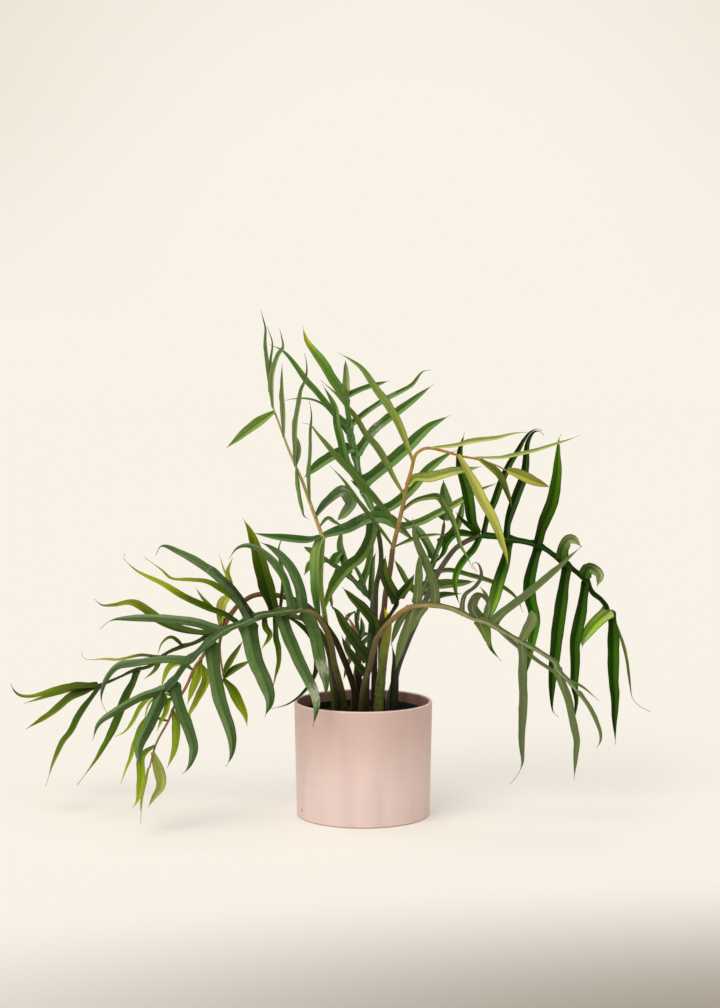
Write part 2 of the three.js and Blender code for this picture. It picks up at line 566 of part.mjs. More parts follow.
function bladeOf(frond) {
  const lines = frond.ribs.map(place);
  const ribCurves = lines.map(curveThrough);
  const face = new THREE.Vector3(...frond.face).normalize();
  let blade = lines.map((line) => stalk(line, ...frond.ribRadii, ribSides))
    .reduce((all, rib) => all.add(rib));
  for (const [width, ...points] of frond.leaflets) {
    blade = blade.add(leafletBlade(leafletLine(ribCurves, points), width, face));
  }
  return largestBody(blade.subtract(petioleOf(frond, seatGap)));
}

const plant = new THREE.Group();

function addPiece(name, geometry, color, roughness) {
  const material = new THREE.MeshStandardMaterial({ color, roughness, metalness: 0 });
  const mesh = new THREE.Mesh(geometry, material);
  mesh.name = name;
  plant.add(mesh);
}

// Turned pieces: a profile of radius and height, closed on the axis or on itself
function turned(profile, sides = turnedSides) {
  const points = profile.map(([radius, height]) => new THREE.Vector2(radius, height));
  return new THREE.LatheGeometry(points, sides).rotateX(Math.PI / 2);
}

const planterInside = planterBaseRadius - planterWall;
addPiece("planter", turned([
  [0, 0],
  [planterBaseRadius - planterFoot, 0],
  [planterBaseRadius, planterFoot],
  [planterRadius, planterHeight - planterLip],
  [planterRadius - planterLip, planterHeight],
  [planterRadius - planterWall + planterLip, planterHeight],
  [planterRadius - planterWall, planterHeight - planterLip],
  [planterInside, planterFloor + planterFoot],
  [planterInside - planterFoot, planterFloor],
  [0, planterFloor],
]), 0xddb9ac, 0.7);

const potBase = planterFloor + seatGap;
const potShoulderRadius = potRimRadius - potRimStep;
const potShoulder = potRimHeight - potRimDepth - 1;
addPiece("nursery_pot", turned([
  [0, potBase],
  [potBaseRadius, potBase],
  [potShoulderRadius, potShoulder],
  [potRimRadius, potRimHeight - potRimDepth],
  [potRimRadius, potRimHeight],
  [potRimRadius - potWall, potRimHeight],
  [potShoulderRadius - potWall, potShoulder - 1],
  [potBaseRadius - potWall, potBase + potWall],
  [0, potBase + potWall],
]), 0x1d2a1e, 0.5);

// Soil fills the nursery pot, in a low mound, with a plain hole for each stalk that stands in it.
const soilBase = potBase + potWall + seatGap;
const soilBaseRadius = potBaseRadius - potWall - 4 * seatGap;
const soilTopRadius = potShoulderRadius - potWall - 5 * seatGap;
const soilBody = solidOfGeometry(turned([
  [0, soilBase],
  [soilBaseRadius, soilBase],
  [soilTopRadius, soilHeight - soilShoulder - 1],
  [soilTopRadius - soilShoulder, soilHeight - 1],
  [soilTopRadius * 0.55, soilHeight + soilMound * 0.6],
  [0, soilHeight + soilMound],
], soilSides));

const upright = new THREE.Vector3(0, -1, 0);
const standing = {
  stem: (grow) => stalk(withRoot(stem), ...stemRadii, stemSides, grow),
  new_leaf_spear: (grow) => stalk(withRoot(newSpear), ...newSpearRadii, stemSides, grow),
  dry_sheath: (grow) => leafletBlade(withRoot(drySheath), drySheathWidth, upright, grow),
};
const holes = [
  ...Object.values(standing).map((made) => made(seatGap)),
  ...fronds.map((frond) => petioleOf(frond, seatGap)),
];
addPiece("soil", geometryOf(holes.reduce((soil, hole) => soil.subtract(hole), soilBody)), 0x2c211a, 1);

addPiece("stem", geometryOf(standing.stem(0)), 0x6f7a3a, 0.6);
addPiece("new_leaf_spear", geometryOf(standing.new_leaf_spear(0)), 0x3a3a24, 0.5);
addPiece("dry_sheath", geometryOf(standing.dry_sheath(0)), 0xb0674a, 0.8);
addPiece("yellow_sheath", geometryOf(leafletBlade(place(yellowSheath), yellowSheathWidth, upright)),
  0x8a8a30, 0.6);

for (const frond of fronds) {
  addPiece(`${frond.name}_petiole`, geometryOf(petioleOf(frond)), frond.petioleColour ?? petioleBrown, 0.5);
  addPiece(`${frond.name}_blade`, geometryOf(bladeOf(frond)), frond.colour, 0.45);
}

export default plant;
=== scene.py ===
import json
import math
import random

import bmesh
import bpy
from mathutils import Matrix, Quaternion, Vector

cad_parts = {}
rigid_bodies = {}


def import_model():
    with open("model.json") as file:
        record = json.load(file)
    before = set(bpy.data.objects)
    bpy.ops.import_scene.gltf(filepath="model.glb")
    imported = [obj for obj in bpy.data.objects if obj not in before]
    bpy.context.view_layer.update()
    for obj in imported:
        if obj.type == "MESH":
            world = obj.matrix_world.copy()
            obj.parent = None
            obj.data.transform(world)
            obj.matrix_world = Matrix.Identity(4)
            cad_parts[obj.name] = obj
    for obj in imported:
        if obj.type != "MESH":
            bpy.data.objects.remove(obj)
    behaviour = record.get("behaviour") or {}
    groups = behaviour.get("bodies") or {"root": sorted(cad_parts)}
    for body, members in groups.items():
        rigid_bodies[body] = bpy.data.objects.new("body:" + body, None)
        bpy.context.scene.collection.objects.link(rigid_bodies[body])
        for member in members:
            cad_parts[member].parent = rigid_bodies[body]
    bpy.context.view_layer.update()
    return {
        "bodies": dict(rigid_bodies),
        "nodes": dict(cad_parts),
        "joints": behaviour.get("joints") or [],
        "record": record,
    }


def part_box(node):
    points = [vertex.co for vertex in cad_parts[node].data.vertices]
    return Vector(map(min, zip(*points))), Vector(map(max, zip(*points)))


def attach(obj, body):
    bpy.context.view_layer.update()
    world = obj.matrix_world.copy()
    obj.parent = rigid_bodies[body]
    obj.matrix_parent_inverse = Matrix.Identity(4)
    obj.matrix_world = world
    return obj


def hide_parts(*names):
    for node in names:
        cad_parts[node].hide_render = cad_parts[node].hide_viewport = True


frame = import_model()
print("frame loaded:", len(frame["nodes"]), "nodes")

mm = 0.001
chance = random.Random(11)


# sRGB hex to the linear colour that Blender's sockets take
def linear(hexColour):
    parts = [int(hexColour[i:i + 2], 16) / 255 for i in (0, 2, 4)]
    return tuple(c / 12.92 if c <= 0.04045 else ((c + 0.055) / 1.055) ** 2.4 for c in parts) + (1,)


# Fills a node's inputs. Each gets a value, a socket, or a node whose first live output is used.
def feed(tree, node, inputs):
    for key, value in inputs.items():
        if isinstance(key, int):
            socket = node.inputs[key]
        else:
            socket = next(s for s in node.inputs if key in (s.identifier, s.name) and s.enabled)
        if isinstance(value, bpy.types.Node):
            value = next(s for s in value.outputs if s.enabled)
        if isinstance(value, bpy.types.NodeSocket):
            tree.links.new(value, socket)
        else:
            socket.default_value = value


# One node with its settings and inputs; a bare kind is a shader node
def addNode(tree, kind, inputs=None, **settings):
    node = tree.nodes.new(kind if "Node" in kind else "ShaderNode" + kind)
    for name, value in settings.items():
        setattr(node, name, value)
    feed(tree, node, inputs or {})
    return node


# A colour made darker and lighter by a pattern: "tones" are its shades at the two ends of the pattern's reach
def shaded(tree, colour, pattern, reach, tones):
    tone = addNode(tree, "MapRange", {
        "Value": pattern, "From Min": reach[0], "From Max": reach[1], "To Min": tones[0], "To Max": tones[1]})
    return addNode(tree, "HueSaturation", {"Color": colour, "Value": tone})


# A second colour laid over the first where a value passes through its reach, up to the share "most"
def overlaid(tree, colour, other, value, reach, most=1.0, **settings):
    share = addNode(tree, "MapRange", {
        "Value": value, "From Min": reach[0], "From Max": reach[1], "To Max": most}, **settings)
    return addNode(tree, "Mix", {"Factor": share, "A": colour, "B": linear(other)}, data_type="RGBA")


def newMaterial(name):
    material = bpy.data.materials.new(name)
    material.use_nodes = True
    return material, material.node_tree, material.node_tree.nodes["Principled BSDF"]


def newObject(name, mesh):
    made = bpy.data.objects.new(name, mesh)
    bpy.context.scene.collection.objects.link(made)
    return made


# Camera: level with the plant's top third, looking slightly down, as the photograph was taken
cameraSet = {
    "place": (-0.00425, -2.5712, 0.5895),
    "pitchDown": 4.07,
    "lens": 71.03,
    "sensor": 36,
    "farEnd": 60,
}
cameraData = bpy.data.cameras.new("camera")
cameraData.lens = cameraSet["lens"]
cameraData.sensor_width = cameraSet["sensor"]
cameraData.clip_end = cameraSet["farEnd"]
camera = newObject("camera", cameraData)
camera.location = cameraSet["place"]
camera.rotation_euler = (math.radians(90 - cameraSet["pitchDown"]), 0, 0)
bpy.context.scene.camera = camera

# Light: two large soft lamps in front, the left one stronger, a smaller one overhead and behind, and a pale
# room. "from" points towards the lamp; "share" is what it adds to white paper that faces it, out of 1.
lightSet = {
    "frontLeft": {"from": (-0.6, -0.8, 1.2), "share": 0.5, "spread": 38, "colour": "FFFCF6"},
    "frontRight": {"from": (0.65, -0.6, 1.0), "share": 0.13, "spread": 40, "colour": "FFFDFA"},
    "overhead": {"from": (-0.12, 0.22, 1.0), "share": 0.2, "spread": 24, "colour": "FFFEFA"},
}
for name, row in lightSet.items():
    lampData = bpy.data.lights.new(name, "SUN")
    lampData.energy = row["share"] * math.pi
    lampData.angle = math.radians(row["spread"])
    lampData.color = linear(row["colour"])[:3]
    lamp = newObject(name, lampData)
    lamp.rotation_euler = Vector(row["from"]).to_track_quat("Z", "Y").to_euler()
bpy.context.scene.view_settings.view_transform = "Standard"

# Room: at the level of the eye it is as pale as the paper, so that the sheet has no visible end; above that
# it is dimmer, most so on the right, and the backdrop behind the plant is pale to a greater height
roomSet = {
    "wall": "F9F3E7",
    "wallEdge": "E4DDD0",       # the backdrop falls off towards its upper corners
    "middle": (0.02, 1.0, 0.03),
    "fallOff": (0.1, 0.34),
    "fallHeight": (0.02, 0.12),
    "backdrop": (0.3, 0.8),     # how far from its middle the backdrop ends
    "backdropRise": 0.19,
    "wallTop": (0.24, 0.42),    # rise of the line of sight at which wall turns to ceiling
    "ceiling": (0.5, 0.14),     # left and right
    "ceilingSpan": (-0.7, 0.6),
}


def makeRoom():
    world = bpy.data.worlds.new("room")
    bpy.context.scene.world = world
    world.use_nodes = True
    tree = world.node_tree
    sight = addNode(tree, "TexCoord").outputs["Object"]
    way = addNode(tree, "SeparateXYZ", {0: sight}).outputs
    gap = addNode(tree, "VectorMath", {0: sight, 1: roomSet["middle"]}, operation="DISTANCE").outputs["Value"]
    reached = {}
    for name, value, least, most, kind in (
        ("fallOff", gap, 0.0, 1.0, "SMOOTHSTEP"),
        ("fallHeight", way["Z"], 0.0, 1.0, "LINEAR"),
        ("backdrop", gap, 0.0, roomSet["backdropRise"], "LINEAR"),
        ("ceilingSpan", way["X"], *roomSet["ceiling"], "LINEAR"),
    ):
        start, end = roomSet[name]
        reached[name] = addNode(tree, "MapRange", {
            "Value": value, "From Min": start, "From Max": end, "To Min": least, "To Max": most},
            interpolation_type=kind)
    corner = addNode(tree, "Math", {0: reached["fallOff"], 1: reached["fallHeight"]}, operation="MULTIPLY")
    wall = addNode(tree, "Mix", {
        "Factor": corner, "A": linear(roomSet["wall"]), "B": linear(roomSet["wallEdge"])}, data_type="RGBA")
    rise = addNode(tree, "Math", {0: way["Z"], 1: reached["backdrop"]}, operation="ADD")
    wallEnd, ceilingStart = roomSet["wallTop"]
    over = addNode(tree, "MapRange", {
        "Value": rise, "From Min": wallEnd, "From Max": ceilingStart}, interpolation_type="SMOOTHSTEP")
    colour = addNode(tree, "Mix", {"Factor": over, "A": wall, "B": reached["ceilingSpan"]}, data_type="RGBA")
    feed(tree, tree.nodes["Background"], {"Color": colour})


makeRoom()

# Floor: a sheet of cream paper that reaches to where the eye no longer tells it from the wall
floorSet = {
    "half": 26.0,
    "paper": "F9F3E9",
    "glow": 0.42,                        # share of its tone that it gives off, as if it were lit from behind
    "paperShade": "9C9287",
    "shadeMiddle": (0.39, -0.85, 0),     # a painted soft shade lies on the near right part of the sheet
    "shadeReach": (1.3, 0.55, 1),
    "shadeTurn": 6,
    "shadeDepth": 0.93,
}


def paperMaterial():
    # Matt photographic paper: no gloss at all, shadows washed out, and one painted soft shade at the near
    # side
    material, tree, shader = newMaterial("creamPaper")
    place = addNode(tree, "TexCoord").outputs["Object"]
    pool = addNode(tree, "Mapping", {
        "Vector": place, "Location": floorSet["shadeMiddle"], "Scale": floorSet["shadeReach"],
        "Rotation": (0, 0, math.radians(floorSet["shadeTurn"]))}, vector_type="TEXTURE")
    away = addNode(tree, "VectorMath", {0: pool}, operation="LENGTH").outputs["Value"]
    tone = overlaid(
        tree, linear(floorSet["paper"]), floorSet["paperShade"], away, (1, 0), floorSet["shadeDepth"],
        interpolation_type="SMOOTHSTEP")
    dimmed = addNode(tree, "VectorMath", {0: tone, "Scale": 1 - floorSet["glow"]}, operation="SCALE")
    feed(tree, shader, {
        "Base Color": dimmed, "Emission Color": tone, "Emission Strength": floorSet["glow"], "Roughness": 1.0,
        "Specular IOR Level": 0.0})
    return material


def makeFloor():
    half = floorSet["half"]
    mesh = bpy.data.meshes.new("paperFloor")
    corners = [(-half, -half, 0), (half, -half, 0), (half, half, 0), (-half, half, 0)]
    mesh.from_pydata(corners, [], [(0, 1, 2, 3)])
    mesh.materials.append(paperMaterial())
    newObject("paperFloor", mesh)


makeFloor()
print("camera, light and floor set")

# Finishes. Leaf and stalk tints are given per frond and carried to the shader by the attribute "tint".
# On every blade the half that turns to the lamp is painted paler and given a painted sheen
leafFinishes = {
    # A waxy bloom lies over the blade: grey-green, cloudy; the half that is turned to the lamp is painted
    # paler, as painted light and sheen
    "glaucousBlade": {
        "under": "8A9468", "midrib": "6E8450", "pale": "829868", "edge": "4A5A22", "bloom": 0.14,
        "haze": 0.22, "halves": 0.34, "keel": 0.26, "streak": 0.24, "ribTop": 0.2, "ribUnder": 0.35,
        "ribEnd": 80, "margin": 0.35, "roughness": 0.4, "shine": 0.12},
    # Ageing olive blade, thin and slightly translucent: warm, yellow partly with age and partly as painted
    # light coming through it
    "oliveBlade": {
        "under": "98A552", "midrib": "9CA452", "pale": "A8B43A", "edge": "54461A", "bloom": 0.0,
        "haze": 0.3, "halves": 0.3, "keel": 0.15, "streak": 0.16, "ribTop": 0.14, "ribUnder": 0.3,
        "ribEnd": 70, "margin": 0.6, "roughness": 0.42, "shine": 0.08},
    # Firm young blade: near black along the keel, clear green beside it, a thin red-brown edge
    "glossyBlade": {
        "under": "5E8030", "midrib": "2E5210", "pale": "6A9A28", "edge": "3A2008", "bloom": 0.0,
        "haze": 0.1, "halves": 0.28, "keel": 0.42, "streak": 0.22, "ribTop": 0.12, "ribUnder": 0.25,
        "ribEnd": 70, "margin": 0.8, "roughness": 0.36, "shine": 0.06},
    # The matt side that faces the ground: olive-grey with a pale raised midrib near the foot of each leaflet
    "mattUnderside": {
        "under": "7A8458", "midrib": "B4B078", "pale": "8C9C68", "edge": "4A5A2C", "bloom": 0.14,
        "haze": 0.2, "halves": 0.26, "keel": 0.1, "streak": 0.16, "ribTop": 0.3, "ribUnder": 0.55,
        "ribEnd": 36, "margin": 0.4, "roughness": 0.55, "shine": 0.08},
}
waxIor = 1.45
leafGrain = {
    "cloud": 12 * mm,
    "mottle": 1.5 * mm,
    "veinPitch": 3.2 * mm,       # side veins are about 1 mm apart, drawn coarser so that they show
    "veinSlant": 1.7,
    "mottleTone": (0.85, 1.15),
    "veinTone": (0.94, 1.06),
    "streakWidth": 1.1 * mm,
    "streakLength": 30 * mm,
    "keel": (0.4 * mm, 3.4 * mm),
    "halfBlend": 0.12,           # how far from the keel, in shares of the half width, the halves blend
    "marginStart": 0.72,
    "midribHalf": 0.7 * mm,
    "ribStart": 15 * mm,         # from here on the midrib's line fades
    "ribLeft": 0.12,
    "underShare": 0.35,
    "scarLength": 7 * mm,
    "scarTint": "C4C8AC",
    "scarReach": (0.95, 1.2),
    "scarCover": 0.8,
    "gloss": (-0.06, 0.1),       # how far the roughness goes to both sides of the blade's own
    "underDull": 0.12,
    "veinRelief": 0.35,          # height of the veins in shares of the mottle's
    "relief": 0.12 * mm,
    "bump": 0.5,
}


def leafMaterial(name, look):
    material, tree, shader = newMaterial(name)
    place = addNode(tree, "TexCoord").outputs["Object"]
    tint = addNode(tree, "Attribute", attribute_name="tint").outputs["Color"]
    fromRib, across, under, length, lit, scar = (
        addNode(tree, "Attribute", attribute_name=key).outputs["Fac"]
        for key in ("fromRib", "across", "under", "length", "lit", "scar"))

    # Cloudy bloom and a fine mottle
    cloud = addNode(tree, "TexNoise", {"Vector": place, "Scale": 1 / leafGrain["cloud"], "Detail": 3.0})
    fine = addNode(tree, "TexNoise", {"Vector": place, "Scale": 1 / leafGrain["mottle"], "Detail": 2.0})
    bloomed = overlaid(tree, tint, look["pale"], cloud, (0.4, 0.7), look["bloom"])

    # Side veins leave the midrib at a slant: lines of equal length plus distance from the rib
    slant = addNode(tree, "Math", {
        0: fromRib, 1: leafGrain["veinSlant"], 2: length}, operation="MULTIPLY_ADD")
    turns = addNode(tree, "Math", {0: slant, 1: 2 * math.pi / leafGrain["veinPitch"]}, operation="MULTIPLY")
    vein = addNode(tree, "Math", {0: turns}, operation="SINE")

    # Grain drawn out along the blade, for the streaks and, shorter, for the dry skin of scars
    grainAcross = addNode(tree, "Math", {0: fromRib, 1: 1 / leafGrain["streakWidth"]}, operation="MULTIPLY")
    grains = []
    for drawn, detail, rough in ((leafGrain["streakLength"], 2.0, 0.5), (leafGrain["scarLength"], 4.0, 0.7)):
        grainAlong = addNode(tree, "Math", {0: length, 1: 1 / drawn}, operation="MULTIPLY")
        grainAt = addNode(tree, "CombineXYZ", {0: grainAcross, 1: grainAlong, 2: across})
        grains.append(addNode(tree, "TexNoise", {
            "Vector": grainAt, "Scale": 1.0, "Detail": detail, "Roughness": rough}))
    streak, scarGrain = grains

    # The blade is darkest along its keel. Its two halves differ by painted light: "lit" tells which half
    # turns to the lamp and is painted paler, and how much
    blend = leafGrain["halfBlend"]
    half = addNode(tree, "MapRange", {
        "Value": across, "From Min": -blend, "From Max": blend, "To Min": -1.0, "To Max": 1.0})
    litHalf = addNode(tree, "Math", {0: half, 1: lit}, operation="MULTIPLY")
    tones = []
    for value, start, end, least, most, kind in (
        (fine, 0.3, 0.7, *leafGrain["mottleTone"], "LINEAR"),
        (vein, -1.0, 1.0, *leafGrain["veinTone"], "LINEAR"),
        (streak, 0.3, 0.7, 1 - look["streak"], 1 + look["streak"], "LINEAR"),
        (fromRib, *leafGrain["keel"], 1 - look["keel"], 1.0, "SMOOTHSTEP"),
        (litHalf, -1.0, 1.0, 1 - look["halves"], 1 + look["halves"], "LINEAR"),
    ):
        tones.append(addNode(tree, "MapRange", {
            "Value": value, "From Min": start, "From Max": end, "To Min": least, "To Max": most},
            interpolation_type=kind))
    tone = tones[0]
    for part in tones[1:]:
        tone = addNode(tree, "Math", {0: tone, 1: part}, operation="MULTIPLY")
    toned = addNode(tree, "HueSaturation", {"Color": bloomed, "Value": tone})
    # Painted sheen: the pale colour is laid over the half that turns to the lamp, in streaks
    paintedSheenShare = addNode(tree, "MapRange", {"Value": litHalf, "From Max": 1.0, "To Max": look["haze"]})
    paintedSheenAt = addNode(tree, "Math", {0: paintedSheenShare, 1: tones[2]}, operation="MULTIPLY")
    withPaintedSheen = addNode(tree, "Mix", {"Factor": paintedSheenAt, "A": toned, "B": linear(look["pale"])}, data_type="RGBA")

    # A thin margin, and a midrib whose line fades out along the leaflet
    margin = addNode(tree, "Math", {0: across}, operation="ABSOLUTE")
    edged = overlaid(tree, withPaintedSheen, look["edge"], margin, (leafGrain["marginStart"], 1.0), look["margin"],
                     interpolation_type="SMOOTHSTEP")
    ribFade = addNode(tree, "MapRange", {
        "Value": length, "From Min": leafGrain["ribStart"], "From Max": look["ribEnd"] * mm,
        "To Min": 1.0, "To Max": leafGrain["ribLeft"]})
    midribHalf = leafGrain["midribHalf"]
    ribLine = addNode(tree, "MapRange", {
        "Value": fromRib, "From Min": midribHalf * 1.3, "From Max": midribHalf * 0.5})
    ribShare = addNode(tree, "Math", {0: ribLine, 1: ribFade}, operation="MULTIPLY")

    # The side away from the light is paler and greyer
    underTint = addNode(tree, "Mix", {
        "Factor": leafGrain["underShare"], "A": edged, "B": linear(look["under"])}, data_type="RGBA")
    sides = []
    for ground, strength in ((edged, look["ribTop"]), (underTint, look["ribUnder"])):
        share = addNode(tree, "Math", {0: ribShare, 1: strength}, operation="MULTIPLY")
        sides.append(addNode(tree, "Mix", {
            "Factor": share, "A": ground, "B": linear(look["midrib"])}, data_type="RGBA"))
    isUnder = addNode(tree, "MapRange", {"Value": under, "From Min": -0.05, "From Max": 0.05})
    both = addNode(tree, "Mix", {"Factor": isUnder, "A": sides[0], "B": sides[1]}, data_type="RGBA")

    # Scuffed and scarred patches show straw-silver dry skin
    scarAt = addNode(tree, "Math", {0: scarGrain, 1: scar}, operation="ADD")
    scarred = overlaid(
        tree, both, leafGrain["scarTint"], scarAt, leafGrain["scarReach"], leafGrain["scarCover"])

    smooth, rough = (look["roughness"] + change for change in leafGrain["gloss"])
    gloss = addNode(tree, "MapRange", {
        "Value": cloud, "From Min": 0.3, "From Max": 0.7, "To Min": smooth, "To Max": rough})
    dull = addNode(tree, "Math", {0: isUnder, 1: leafGrain["underDull"], 2: gloss}, operation="MULTIPLY_ADD")
    relief = addNode(tree, "Math", {0: vein, 1: leafGrain["veinRelief"], 2: fine}, operation="MULTIPLY_ADD")
    bump = addNode(tree, "Bump", {
        "Height": relief, "Distance": leafGrain["relief"], "Strength": leafGrain["bump"]})
    feed(tree, shader, {
        "Base Color": scarred, "Roughness": dull, "IOR": waxIor, "Specular IOR Level": look["shine"],
        "Normal": bump})
    return material


waxSet = {
    "streakRound": 5.0,          # streaks 0.7 mm wide on a stalk of common thickness
    "streakLength": 12 * mm,
    "streakTone": (0.72, 1.3),
    "cloud": 9 * mm,
    "cloudTone": (0.85, 1.15),
    "roughness": 0.42,
    "shine": 0.14,
    "relief": 0.3 * mm,
    "bump": 0.5,
}


def stalkMaterial():
    # Smooth fleshy stalk, waxed: fine pale streaks run lengthwise over the ground colour
    material, tree, shader = newMaterial("fleshyStalk")
    place = addNode(tree, "TexCoord").outputs["Object"]
    tint = addNode(tree, "Attribute", attribute_name="tint").outputs["Color"]
    across, under, length = (
        addNode(tree, "Attribute", attribute_name=key).outputs["Fac"]
        for key in ("across", "under", "length"))
    around = addNode(tree, "CombineXYZ", {0: across, 1: under})
    roundScaled = addNode(tree, "VectorMath", {0: around, "Scale": waxSet["streakRound"]}, operation="SCALE")
    lengthScaled = addNode(tree, "Math", {0: length, 1: 1 / waxSet["streakLength"]}, operation="MULTIPLY")
    streakPlace = addNode(tree, "CombineXYZ", {2: lengthScaled})
    streakAt = addNode(tree, "VectorMath", {0: roundScaled, 1: streakPlace}, operation="ADD")
    streak = addNode(tree, "TexNoise", {"Vector": streakAt, "Scale": 1.0, "Detail": 3.0})
    streaked = shaded(tree, tint, streak, (0.35, 0.7), waxSet["streakTone"])
    cloud = addNode(tree, "TexNoise", {"Vector": place, "Scale": 1 / waxSet["cloud"], "Detail": 2.0})
    clouded = shaded(tree, streaked, cloud, (0.3, 0.7), waxSet["cloudTone"])
    bump = addNode(tree, "Bump", {"Height": streak, "Distance": waxSet["relief"], "Strength": waxSet["bump"]})
    feed(tree, shader, {
        "Base Color": clouded, "Roughness": waxSet["roughness"], "IOR": waxIor,
        "Specular IOR Level": waxSet["shine"], "Normal": bump})
    return material


fibreSet = {
    "fibresAcross": 9.0,
    "fibreLength": 15 * mm,
    "fibreTone": (0.6, 1.3),
    "roughness": 0.8,
    "shine": 0.2,
    "relief": 0.4 * mm,
    "bump": 0.6,
}


def paperySheathMaterial():
    # Dried leaf sheath, thin as paper: fibres run lengthwise, dull, darker in the folds
    material, tree, shader = newMaterial("paperySheath")
    tint = addNode(tree, "Attribute", attribute_name="tint").outputs["Color"]
    across, length = (
        addNode(tree, "Attribute", attribute_name=key).outputs["Fac"] for key in ("across", "length"))
    acrossScaled = addNode(tree, "Math", {0: across, 1: fibreSet["fibresAcross"]}, operation="MULTIPLY")
    lengthScaled = addNode(tree, "Math", {0: length, 1: 1 / fibreSet["fibreLength"]}, operation="MULTIPLY")
    fibreAt = addNode(tree, "CombineXYZ", {0: acrossScaled, 1: lengthScaled})
    fibre = addNode(tree, "TexNoise", {"Vector": fibreAt, "Scale": 1.0, "Detail": 4.0})
    fibred = shaded(tree, tint, fibre, (0.3, 0.7), fibreSet["fibreTone"])
    bump = addNode(tree, "Bump", {
        "Height": fibre, "Distance": fibreSet["relief"], "Strength": fibreSet["bump"]})
    feed(tree, shader, {
        "Base Color": fibred, "Roughness": fibreSet["roughness"], "Specular IOR Level": fibreSet["shine"],
        "Normal": bump})
    return material


claySet = {
    "ground": ("E6CCC6", "EDD5CF"),
    "cloud": 45 * mm,
    "grain": 0.9 * mm,
    "streak": (160 * mm, 1.5 * mm),   # width and height: streaks are drawn out round the wall
    "wash": (28 * mm, 260 * mm),      # painted sheen and shade in upright bands
    "streakTone": (0.985, 1.012),
    "grainTone": (0.98, 1.02),
    "washTone": (0.94, 1.05),
    "stain": "CDA898",                # painted shade: browner towards the rim, where the foliage above shades the wall
    "stainReach": (0.25, 0.95),       # shares of the height
    "stainMost": 0.55,
    "inside": "B48474",
    # a painted highlight along the lip, over rubbed wear
    "rim": "F0D8CE",
    "rimReach": (2.4 * mm, 0.8 * mm),
    "rimMost": 0.7,
    "chipPlace": (-0.0795, -0.0352, 0.0125),
    "chip": "C98A5E",
    "chipReach": (4.4 * mm, 3.4 * mm),
    "chipRagged": 3 * mm,
    "chipMost": 0.8,
    "foot": "9A6A50",                 # a warm, darker line along the foot
    "footReach": (2.2 * mm, 0.6 * mm),
    "footMost": 0.75,
    "roughness": (0.5, 0.68),
    "relief": 0.08 * mm,
    "streakRelief": 2.0,              # height of the streaks in shares of the grain's
    "bump": 0.5,
}


